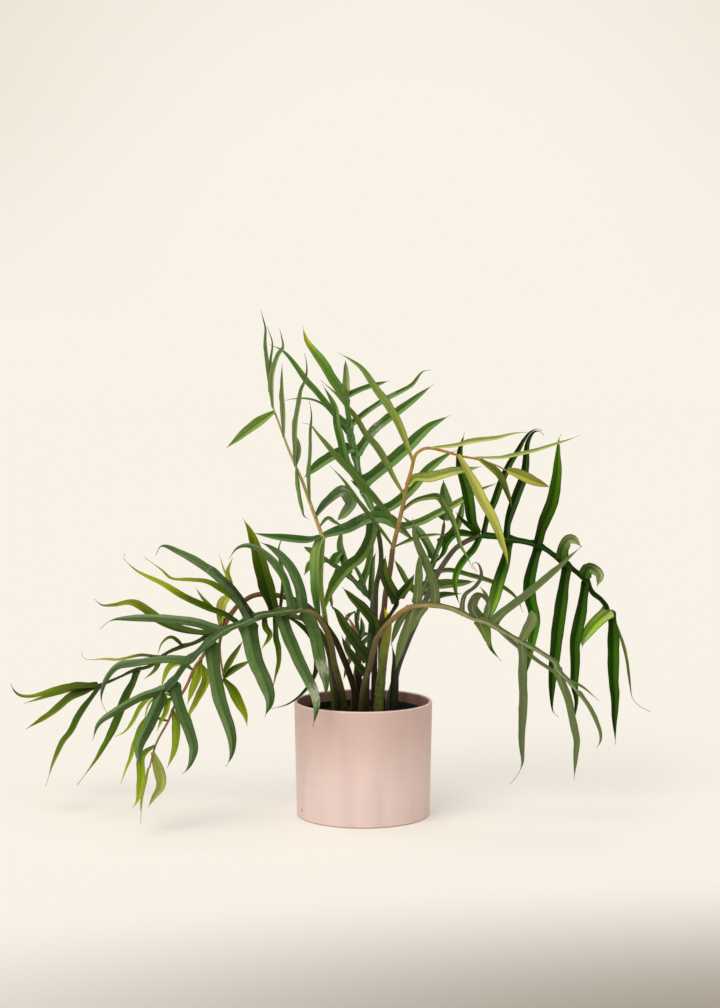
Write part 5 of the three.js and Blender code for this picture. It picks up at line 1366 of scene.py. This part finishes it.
# What the eye sees on each frond. Tints run from root to tip; "sap" colours them all, in linear red, green
# and blue. "leaflets" names what single leaflets have of their own: tints, "width", "outline", "cup", "wave",
# "tail" (share of the length that is a thread) and "scar" (a dry patch: share of the length, its spread and
# strength).
# The petioles are darkest at the root: their own colour there, made darker still as painted shade where the
# stalks crowd above the soil
looks = {
    "frond_left_front": {
        "finish": "glaucousBlade", "sap": (0.8, 0.86, 0.72), "slot": "leaf_glaucous",
        "leaf": "3A5523 567038 5D7444 48602E", "petiole": "2A2A10 5A5628 7A6C3A", "rib": "7A7448 66864E",
        "wing": (6.6, 5), "foot": 5.5, "wingTint": "3E5C2C", "cup": -0.4, "scarring": 0.4,
        "leaflets": {
            0: {"scar": (0.66, 0.2, 0.6)},
            1: {"scar": (0.74, 0.17, 0.64)},
            5: {"leaf": "3A5523 46622C 56703A 708352"},
            9: {"leaf": "1C2C0C 2A3E14 5A7442 6C804E 42582C", "scar": (0.5, 0.02, 0.55)},
            10: {"leaf": "3A5523 60784A 6A8052 46602C", "tail": 0.1},
            11: {"leaf": "46602C 66804C 567040 384E22", "tail": 0.1},
        },
    },
    "frond_left_behind": {
        "finish": "oliveBlade", "sap": (1.0, 0.88, 0.25), "slot": "leaf_olive",
        "leaf": "1E3406 3A5A08 5E7E12 8A9C22", "petiole": "1E1E0E 4A3E20 665828", "rib": "4A4A20 3A4A14",
        "wing": (4.5, 3), "foot": 4, "wingTint": "26400A", "outline": "waisted",
        "leaflets": {
            0: {"leaf": "182A04 2E4C06 4E6E0C 8A9C22"},
            3: {"leaf": "26400A 33540E 4E6E14 A8BC38 A8B838 3A4A1A", "tail": 0.08},
            4: {"leaf": "33520E 55761A 98A834 B0B040", "tail": 0.08},
            5: {"leaf": "1E3406 2E4E0A 55741A 8A9A2E 6A5A20"},
            7: {"leaf": "26400A 2E4A14 A8B274 BCC490 3A4A22", "tail": 0.16},
            8: {"leaf": "2A3A0C 4A6210 66801A 74861E 5A4E1A"},
            10: {"leaf": "223A06 46660C 66841A 76661C"},
            11: {"leaf": "1E3406 3A5A08 5E7E12 9AA848", "tail": 0.1},
            12: {"leaf": "1E3806 30520A 4A6C0E 7E9624", "tail": 0.1},
            15: {"leaf": "2A3A16 1A2C12 1E3214 2A3A1C", "outline": "lance"},
        },
    },
    "frond_left_low": {
        "finish": "oliveBlade", "sap": (1.05, 0.98, 0.5), "slot": "leaf_olive",
        "leaf": "4E7214 86A224 9CB434", "petiole": "221C0C 40320F 6A4A24", "rib": "8A5A35 9A7C56",
        "outline": "lance",
        "leaflets": {
            0: {"leaf": "6A8A1C A0A858 94904E", "tail": 0.2},
            1: {"leaf": "6A8C1C A6BE38 9AB232", "width": 15},
            2: {"leaf": "7E9C20 AEBE4A 9AB42C", "width": 12},
            3: {"width": 12},
            4: {"leaf": "4A6A14 8CAA24 AABC3A", "width": 12},
            5: {"leaf": "8A9A60 A3AE7A 8E9C60", "width": 13, "cup": 0.15},
            6: {"leaf": "4A6A14 7E9C1E AABC3A"},
            10: {"leaf": "6A8A1C AABC4A"},
            11: {"leaf": "33520E 6A8A14 A8B020", "width": 12},
            12: {"leaf": "3A5A14 5E7A20", "width": 10},
            13: {"leaf": "3A5A14 66802A", "width": 10},
            14: {"leaf": "A4AC58 BCC278 A8B25A", "outline": "blunt"},
            15: {"leaf": "A0AA48 8EA434"},
            16: {"leaf": "B4BC70 A8B050"},
        },
    },
    "frond_top_left": {
        "finish": "glaucousBlade", "sap": (2.5, 1.5, 1.25), "slot": "leaf_glaucous",
        "leaf": "3A682A 467436 3A662E", "petiole": "34361A 62722E 8FA84A 98AC5C", "rib": "C0A660 A8A468",
        "outline": "lance",
        "leaflets": {
            0: {"leaf": "4E7448 446C40 284A28", "width": 6},
            1: {"leaf": "4E8020 4A7A30 3E6C2E", "outline": "lance"},
            2: {"width": 4},
            3: {"leaf": "527A48 56804C 365C34", "outline": "lance"},
            4: {"leaf": "5E8256 56804C 365C34"},
            5: {"leaf": "527A48 4E7448 284A28"},
            6: {"leaf": "44704A 55805A"},
            7: {"leaf": "527A48 467040 284A28"},
            9: {"leaf": "2A4C2C 365A38 4A7048", "scar": (0.5, 0.3, 0.46), "outline": "blunt", "width": 14},
            11: {"leaf": "2A5424 346430 346A2A", "outline": "waisted"},
            12: {"leaf": "2C5A2A 34602E 447040", "scar": (0.4, 0.3, 0.46), "outline": "waisted", "width": 18},
            13: {"leaf": "608E55 578C41 316526 183C18", "width": 13, "outline": "long"},
        },
    },
    "frond_centre_rear": {
        "finish": "glaucousBlade", "sap": (3.0, 1.55, 1.1), "slot": "leaf_glaucous",
        "leaf": "245420 34682A 386E2C", "petiole": "241E14 44382A 4E5A34", "rib": "76905A 80985E",
        "wing": (5.6, 4), "foot": 5, "wingTint": "2E6234", "scarring": 0.55,
        "leaflets": {
            0: {"leaf": "5E8A60 44704A"},
            2: {"scar": (0.45, 0.4, 0.5)},
            3: {"scar": (0.3, 0.3, 0.5), "width": 12},
            4: {"leaf": "245220 32682C 387028", "width": 15.5},
            5: {"width": 13},
            6: {"leaf": "1E4A1A 3C7036 528444 467A30"},
            7: {"leaf": "2F5A24 37701E 448024 8CAC2A"},
            11: {"scar": (0.3, 0.2, 0.45), "width": 14.5},
            13: {"leaf": "254A20 2F5E24 3A6E22 4E8A22"},
        },
    },
    "frond_centre_tan": {
        "finish": "oliveBlade", "sap": (1.18, 1.17, 1.25), "slot": "leaf_green",
        "leaf": "365C20 4E7624 5E8A28", "petiole": "241A14 463228 76603E",
        "rib": "9C8050 AC8A4A C48C34 B49A3C", "outline": "lance",
        "leaflets": {
            0: {"leaf": "A8A84A B2B044 A8A63C", "outline": "waisted", "width": 14},
            1: {"leaf": "A4AA50 8CA048 7A9648 6A8A3C"},
            2: {"leaf": "92A04A 6E8440 5A7030 7A923E"},
            3: {"leaf": "4E6A2C 50682C 587430 82983E"},
            4: {"leaf": "4E6A2C 5C783A 6A8440"},
            5: {"leaf": "A2A850 ACB050 A8AC48 A0A23E"},
            6: {"leaf": "7A7A30 6A7226 4A5A1C 32361A", "outline": "waisted"},
            7: {"leaf": "9AAA48 AAB458 A4B05C 98A84E", "outline": "waisted", "width": 13},
            8: {"leaf": "B0B868 A0AE58 8EA444"},
            9: {"leaf": "B0B868 A4B05C 8EA444"},
            10: {"leaf": "5A6A3E 46602E 527238 6E8A50"},
            11: {"leaf": "4A6E2A 5A8240"},
        },
    },
    "frond_right_rear": {
        "finish": "glossyBlade", "sap": (1.15, 0.96, 0.65), "slot": "leaf_green",
        "leaf": "142E02 265204 204504 163104", "petiole": "3A3228 5E5650 6A6250", "rib": "2C5A14 2A4A18",
        "wing": (6, 5), "foot": 5, "wingTint": "1C420E", "outline": "waisted",
        "leaflets": {
            2: {"leaf": "1A3608 244C0A 1E3C0C 2C4514"},
            3: {"leaf": "163008 1C3C08 1A330A 2C3C1C"},
            4: {"leaf": "163106 2A5204 3A6A06 4E8010 6E9A20"},
            5: {"leaf": "2E5A14 4A6E3A 8CAA80 A4BC9A", "outline": "long", "width": 14},
            6: {"leaf": "2E5A14 4A6E3A 8CAA80 A4BC9A", "outline": "long", "width": 13},
            7: {"leaf": "92AC74 8AC048 86BC48 8AA27C", "outline": "long", "width": 15, "cup": 0.2},
            8: {"leaf": "6A9A3A 7EA452 66884A 5A7A3E", "tail": 0.2},
            9: {"leaf": "1E4A10 306A12 285A10"},
            10: {"leaf": "1C4210 356E12 58981E 24500E"},
            11: {"leaf": "1C4210 24560C 72A838 3E8214 245A0E"},
            12: {"leaf": "142E04 1E4C08 265A0A 3E7618 1C420C"},
        },
    },
    "frond_right_front": {
        "finish": "mattUnderside", "sap": (1.75, 1.25, 0.8), "slot": "leaf_underside",
        "leaf": "42623A 4A6C42 3A5C36", "petiole": "34361A 50482C 685A3A 9C8048", "rib": "9C8A58 8A9A78",
        "wing": (5, 4), "foot": 4.5, "wingTint": "3A5C38",
        "leaflets": {
            3: {"leaf": "2A4232 1A3022 16281E", "tail": 0.15},
            4: {"leaf": "3E5E3E 466A46 4E7650"},
            5: {"leaf": "4E6E4C 6A8A66", "outline": "blunt"},
            6: {"leaf": "24402A 1A321E 223E28", "scar": (0.5, 0.3, 0.4), "wave": 2.5, "width": 11},
            9: {"leaf": "44624A 3E5C42 34523A 24402C", "tail": 0.12},
            10: {"leaf": "4E6E4C 446446 2E5034"},
            12: {"leaf": "24480E 4E8414 7A7A1E", "width": 12},
        },
    },
    "frond_centre_short": {
        "finish": "glossyBlade", "sap": (1.9, 1.0, 0.8), "slot": "leaf_green", "leaf": "223F1C 2F5526 3A642C",
        "petiole": "26300F 34421A", "rib": "30482A 30482A", "wing": (4, 2.5), "foot": 4,
    },
    "frond_rear_right": {
        "finish": "glaucousBlade", "sap": (3.1, 1.35, 0.8), "slot": "leaf_glaucous",
        "leaf": "2A5A28 3C703A 366A30", "petiole": "4A4A30 5A6A40", "rib": "6E8458 6E8A5E", "wing": (4, 2.5),
        "foot": 4,
    },
    "frond_rear_left": {
        "finish": "glaucousBlade", "sap": (3.1, 1.35, 0.8), "slot": "leaf_glaucous",
        "leaf": "245424 326830 2A5C28", "petiole": "3A3A26 4A5A38", "rib": "4E6E48 5A7A50", "wing": (4, 2.5),
        "foot": 4, "scarring": 0.4,
    },
    "frond_rear_low": {
        "finish": "glaucousBlade", "sap": (3.1, 1.35, 0.8), "slot": "leaf_glaucous", "leaf": "224A20 2E5E2E",
        "petiole": "3A3A26 4A5A38", "rib": "40603E 4E6E46", "wing": (3, 2), "foot": 3,
    },
}

bladeSet = {
    "step": 3.0,             # length between the rings of a swept part
    "depth": (0.42, 0.26),   # half thickness at root and tip
    "fullness": 1.1,         # the photographed widths are of blades that are seen a little from the side
    "footWidth": 0.25,       # share of its width with which a blade leaves a winged rib
    "flare": 0.8,            # how much wider the blade is where it runs into the rib
    "flareReach": 7.0,
    "thread": 0.45,          # half width of the drawn-out tip
    "threadThin": 0.5,       # share of it that is gone at the very end
    "cup": 0.42,
    "cupReach": 12,
    "tail": 0.04,
    "roll": 13,              # most degrees by which a blade rolls about its own length
    "toneSpread": 0.16,
    "litGain": 2.4,          # how soon a half that turns towards the lamp is as pale as it gets
    "ribSet": 0.5,           # share of the rib's radius by which the blade sits above its middle
    "setReach": 9,
    "rootGap": 9,            # a first point nearer to the rib than this gives way to the point on the rib
}
stalkSet = {"rootDepth": 34, "swell": 0.12, "swellReach": 14, "settle": 0.3}
wingSet = {
    "narrow": 0.85,          # share of the full width between leaflets
    "swell": 0.4,
    "swellReach": 7,
    "thin": 0.4,
    "wave": 0.8,
    "cup": 0.16,
    "scarReach": 3.5,
    "start": (-4, 16),       # widens from before the rib's start, and narrows over its last stretch
    "end": (2, -10),
}
# How the section differs from a leaflet's
sections = {
    "petiole": {"sides": 16, "gather": 1.0, "ridge": 0.0, "channel": 0.7 * mm, "uneven": 0.05},
    "rib": {"sides": 12, "gather": 1.0, "ridge": 0.0, "channel": 0.6 * mm, "uneven": 0.08},
    "stem": {"sides": 24, "gather": 1.0, "ridge": 0.0, "channel": 0.0, "uneven": 0.06},
    "sheath": {"ridge": 0.2 * mm, "channel": 0.1 * mm, "wave": 0.8 * mm},
}
# Share of the full width at each share of the length
outlines = {
    "long": (
        (0, 0.95), (0.12, 0.98), (0.36, 1), (0.6, 0.92), (0.78, 0.72), (0.9, 0.42), (0.97, 0.17), (1, 0.05)),
    "waisted": (
        (0, 0.55), (0.1, 0.7), (0.28, 1), (0.55, 0.92), (0.76, 0.66), (0.9, 0.34), (0.97, 0.14), (1, 0.05)),
    "lance": (
        (0, 0.34), (0.1, 0.56), (0.32, 0.98), (0.55, 0.95), (0.76, 0.68), (0.9, 0.36), (0.97, 0.15),
        (1, 0.05)),
    "blunt": ((0, 0.5), (0.25, 0.85), (0.55, 1.1), (0.8, 1.05), (0.93, 0.75), (1, 0.25)),
}
lightWay = Vector(lightSet["frontLeft"]["from"]).normalized()
bladeValues = {"side": "FLOAT_VECTOR", "facing": "FLOAT_VECTOR", "tint": "FLOAT_COLOR"}
for name in ("halfWidth", "halfDepth", "cup", "wave", "length", "chance", "scar", "lit"):
    bladeValues[name] = "FLOAT"


def outlineAt(name, share):
    outline, share = outlines[name], min(max(share, 0), 1)
    i = next(k for k in range(1, len(outline)) if share <= outline[k][0])
    (x0, y0), (x1, y1) = outline[i - 1], outline[i]
    before = outline[i - 2] if i > 1 else (x0 - (x1 - x0), y0 - (y1 - y0))
    after = outline[i + 1] if i + 1 < len(outline) else (x1 + (x1 - x0), y1 + (y1 - y0))
    slope0 = (y1 - before[1]) / (x1 - before[0])
    slope1 = (after[1] - y0) / (after[0] - x0)
    t = (share - x0) / (x1 - x0)
    bend0, bend1 = slope0 * (x1 - x0), slope1 * (x1 - x0)
    square = (3 * (y1 - y0) - 2 * bend0 - bend1) * t * t
    return y0 + bend0 * t + square + (2 * (y0 - y1) + bend0 + bend1) * t ** 3


# The colour at a share of the length, from a line of tints, after the frond's own sap has coloured it
def tintAt(stops, share, sap=(1, 1, 1), tone=1):
    colours = [linear(stop) for stop in stops.split()]
    spot = min(max(share, 0), 1) * (len(colours) - 1)
    i = int(spot)
    after = colours[min(i + 1, len(colours) - 1)]
    blended = [a + (b - a) * (spot - i) for a, b in zip(colours[i], after)]
    return tuple(c * tone * s for c, s in zip(blended, sap)) + (1,)


# How the section lies at each point: the side it reaches out to, and the way its upper face looks
def framesAlong(line, face, turn=(0, 0)):
    frames, side = [], None
    for i in range(len(line)):
        along = (line[min(i + 1, len(line) - 1)] - line[max(i - 1, 0)]).normalized()
        wanted = along.cross(face)
        weight = wanted.length
        wanted.normalize()
        if side is None:
            side = wanted
        else:
            carried = (side - along * side.dot(along)).normalized()
            if wanted.dot(carried) < 0:
                wanted.negate()
            side = carried.lerp(wanted, stalkSet["settle"] * weight).normalized()
        roll = turn[0] + (turn[1] - turn[0]) * eased(0, 1, i / (len(line) - 1))
        turned = Quaternion(along, math.radians(roll)) @ side
        frames.append((turned, turned.cross(along).normalized()))
    return frames


def pointRow(at, frame, tint, halfWidth, halfDepth, length, luck, **more):
    return {
        "at": at * mm, "side": frame[0], "facing": frame[1], "tint": tint, "halfWidth": halfWidth * mm,
        "halfDepth": halfDepth * mm, "length": length * mm, "chance": luck, "cup": 0.0, "wave": 0.0,
        "scar": 0.0, "lit": 0.0, **more,
    }


def leafletChain(line, face, width, look, own, lift):
    total = sum(stretches(line))
    turn = own.get("turn", tuple(bladeSet["roll"] * (2 * chance.random() - 1) for _ in range(2)))
    frames = framesAlong(line, face, turn)
    tints = own.get("leaf", look["leaf"])
    tail = own.get("tail", bladeSet["tail"])
    cup = own.get("cup", look.get("cup", bladeSet["cup"]))
    shape = own.get("outline", look.get("outline", "long"))
    middle, spread, strength = own.get("scar", (0, 1, 0))
    foot = look.get("foot", 0)
    flare = bladeSet["flare"] if foot else 0
    footWidth = bladeSet["footWidth"]
    luck = chance.random()
    tone = 1 + bladeSet["toneSpread"] * (chance.random() - 0.5)
    rootDepth, tipDepth = bladeSet["depth"]
    rows = []
    for i, at in enumerate(line):
        share = i / (len(line) - 1)
        length = total * share
        body = share / (1 - tail)
        half = outlineAt(shape, body) * width / 2 * bladeSet["fullness"] if body < 1 else 0
        half = max(half, bladeSet["thread"] * (1 - bladeSet["threadThin"] * share))
        half *= 1 + flare * math.exp(-length / bladeSet["flareReach"])
        half *= footWidth + (1 - footWidth) * eased(-1, foot, length) if foot else 1
        depth = min(rootDepth + (tipDepth - rootDepth) * share, half)
        fade = eased(1 - tail, 0.5, share)
        # Painted light: how far the blade's side turns to the front left lamp decides which half is painted
        # paler
        lit = min(max(bladeSet["litGain"] * frames[i][0].dot(lightWay), -1), 1)
        rows.append(pointRow(
            at + lift * math.exp(-length / bladeSet["setReach"]), frames[i],
            tintAt(tints, share, look.get("sap", (1, 1, 1)), tone), half, depth, length, luck,
            cup=cup * fade * eased(0, bladeSet["cupReach"], length + 3), wave=fade * own.get("wave", 1.0),
            scar=strength * math.exp(-((share - middle) / spread) ** 2), lit=-lit if cup > 0 else lit))
    return rows


# Places where a leaflet may start: points along the ribs, with where the eye sees them
def ribSpots(ribLines, ribFrames):
    spots = []
    for line, frames in zip(ribLines, ribFrames):
        for at, frame in zip(line, frames):
            share = -eye[1] / (at.y - eye[1])
            spots.append((eye[0] + (at.x - eye[0]) * share, eye[2] + (at.z - eye[2]) * share, at.y, frame))
    return spots


def stalkChain(line, face, radii, tints, swell=0.0):
    frames = framesAlong(line, face)
    luck = chance.random()
    rows, length = [], 0
    for i, (at, stretch) in enumerate(zip(line, [*stretches(line), 0])):
        share = i / (len(line) - 1)
        radius = radii[0] + (radii[1] - radii[0]) * share
        radius *= 1 + swell * math.exp(-length / stalkSet["swellReach"])
        rows.append(pointRow(at, frames[i], tintAt(tints, share), radius, radius, length, luck))
        length += stretch
    return rows


# A narrow strip of blade runs down both sides of the rib, over its upper face, with scars at the leaflets
def wingChain(line, frames, rise, look, starts):
    total = sum(stretches(line))
    luck = chance.random()
    tint = tintAt(look.get("wingTint", look["leaf"]), 0.0, look["sap"])
    rootHalf, tipHalf = look["wing"]
    past, full = wingSet["end"]
    rows = []
    for i, at in enumerate(line):
        share = i / (len(line) - 1)
        length = total * share
        near = min((at - start).length for start in starts)
        swell = wingSet["swell"] * math.exp(-(near / wingSet["swellReach"]) ** 2)
        half = (rootHalf + (tipHalf - rootHalf) * share) * (wingSet["narrow"] + swell)
        half *= eased(*wingSet["start"], length) * eased(total + past, total + full, length)
        rows.append(pointRow(
            at + frames[i][1] * rise * (1 - 0.5 * share), frames[i], tint, max(half, wingSet["thin"]),
            wingSet["thin"], length, luck, wave=wingSet["wave"], cup=wingSet["cup"],
            scar=look.get("scarring", 0.0) * math.exp(-(near / wingSet["scarReach"]) ** 2)))
    return rows


def makeFrond(frond, sweeping, leafFinish, stalkFinish):
    name, look = frond["name"], looks[frond["name"]]
    face = Vector(frond["face"]).normalized()
    petioleLine = placed(frond["petiole"])
    petioleLine.insert(0, petioleLine[0] - Vector((0, 0, stalkSet["rootDepth"])))
    petiole = curved(petioleLine, bladeSet["step"])[0]
    ribLines = [curved(placed(rib), bladeSet["step"])[0] for rib in frond["ribs"]]
    ribFrames = [framesAlong(line, face) for line in ribLines]

    stalk = guideMesh(name + "_stalk", [
        stalkChain(petiole, face, frond["petioleRadii"], look["petiole"], stalkSet["swell"])], bladeValues)
    grow(stalk, sweeping, material=stalkFinish, **sections["petiole"])
    finished(stalk, "petiole_brown", name + "_petiole")
    ribs = guideMesh(name + "_rib", [
        stalkChain(line, face, frond["ribRadii"], look["rib"]) for line in ribLines], bladeValues)
    grow(ribs, sweeping, material=stalkFinish, **sections["rib"])
    finished(ribs, "petiole_brown", name + "_blade")

    spots = ribSpots(ribLines, ribFrames)
    rise = frond["ribRadii"][0] * bladeSet["ribSet"]
    chains, starts = [], []
    for index, (width, *points) in enumerate(frond["leaflets"]):
        own = look.get("leaflets", {}).get(index, {})
        across, up = points[0][:2]
        near = min(spots, key=lambda spot: math.hypot(spot[0] - across, spot[1] - up))
        gap = math.hypot(near[0] - across, near[1] - up)
        rest = points[1:] if gap < bladeSet["rootGap"] else points
        line = curved(placed([near[:3], *rest]), bladeSet["step"])[0]
        starts.append(line[0])
        chains.append(leafletChain(line, face, own.get("width", width), look, own, near[3][1] * rise))
    if "wing" in look:
        for line, frames in zip(ribLines, ribFrames):
            chains.append(wingChain(line, frames, rise, look, starts))
    blade = guideMesh(name + "_leaflets", chains, bladeValues)
    grow(blade, sweeping, material=leafFinish)
    finished(blade, look["slot"], name + "_blade")
    return len(stalk.data.polygons) + len(ribs.data.polygons) + len(blade.data.polygons)


# What else stands in the soil or on the stem, in the same terms as the fronds
standing = {
    "knobbyStem": {
        "line": [[20, 138, -16], [22, 166, -16], [26, 203, -16]], "radii": (7.2, 5.4),
        "tints": "3E3A1C 66702E 5E6E30 6A7430", "nodeGap": 17, "nodeSwell": 0.1, "nodeReach": 2.2,
        "slot": "stem_green", "node": "stem",
    },
    "newLeafSpear": {
        "line": [[40, 138, -6], [41, 173], [41, 200], [37, 224, -6]], "radii": (6.2, 4.6),
        "tints": "1A2012 262C1C 2C341E 3A4426", "taper": (0.66, 1.03), "point": 0.4, "flatness": 0.85,
        "slot": "stem_green", "node": "new_leaf_spear",
    },
    "yellowSheath": {
        "line": [[26.05, 203.5, -16], [27.6, 220], [32, 243], [32, 256], [27, 272, -20]], "width": 10.5,
        "leaf": "6A7430 7C8230 8A8C34 A8A028 E0C410 E8CC10", "cup": 0.3, "footDepth": 5.0, "wrap": 22,
        "slot": "sheath_yellow", "node": "yellow_sheath",
    },
    "drySheath": {
        "line": [[-4, 138, 22], [-6, 190], [-8, 228], [-13, 247], [-25, 265, 28]], "width": 8,
        "leaf": "24160E 3A2418 94604A C8927A", "cup": 0.25, "footDepth": 1.2, "wrap": 22,
        "slot": "sheath_dry", "node": "dry_sheath",
    },
}
front = Vector((0, -1, 0))
stemStep = 1.2


def makeStanding(name, sweeping, finish):
    row = standing[name]
    points = placed(row["line"])
    points.insert(0, points[0] - Vector((0, 0, stalkSet["rootDepth"])))
    line, total = curved(points, stemStep)
    chain = stalkChain(line, front, row["radii"], row["tints"])
    for item in chain:
        length = item["length"] / mm
        if "nodeGap" in row:
            swell = 1 + row["nodeSwell"] * math.exp(-((length % row["nodeGap"]) / row["nodeReach"]) ** 2)
            item["halfWidth"] *= swell
            item["halfDepth"] *= swell
        else:   # rolled to a point, and a little flat
            left = 1 - eased(*row["taper"], length / total)
            item["halfWidth"] = max(item["halfWidth"] * left, row["point"] * mm)
            item["halfDepth"] = item["halfWidth"] * row["flatness"]
    piece = guideMesh(name, [chain], bladeValues)
    grow(piece, sweeping, material=finish, **sections["stem"])
    finished(piece, row["slot"], row["node"])


def makeSheath(name, sweeping, finish):
    row = standing[name]
    line = curved(placed(row["line"]), bladeSet["step"])[0]
    chain = leafletChain(line, front, row["width"], row, {"turn": (0, 0)}, Vector())
    for item in chain:
        fade = math.exp(-item["length"] / (row["wrap"] * mm))   # round where it still wraps the stem
        item["halfDepth"] += min(row["footDepth"] * mm, item["halfWidth"]) * fade
    piece = guideMesh(name, [chain], bladeValues)
    grow(piece, sweeping, material=finish, **sections["sheath"])
    finished(piece, row["slot"], row["node"])


def makePlant():
    sweeping = sweepTree()
    stalkFinish = stalkMaterial()
    sheathFinish = paperySheathMaterial()
    finishes = {name: leafMaterial(name, look) for name, look in leafFinishes.items()}
    faces = 0
    for frond in fronds:
        faces += makeFrond(frond, sweeping, finishes[looks[frond["name"]]["finish"]], stalkFinish)
        print("frond made:", frond["name"])
    for name in ("knobbyStem", "newLeafSpear"):
        makeStanding(name, sweeping, stalkFinish)
    for name in ("yellowSheath", "drySheath"):
        makeSheath(name, sweeping, sheathFinish)
    print("plant made:", faces, "faces in the fronds")


makePlant()

for unused in [g for g in bpy.data.node_groups if g.users == 0]:
    bpy.data.node_groups.remove(unused)
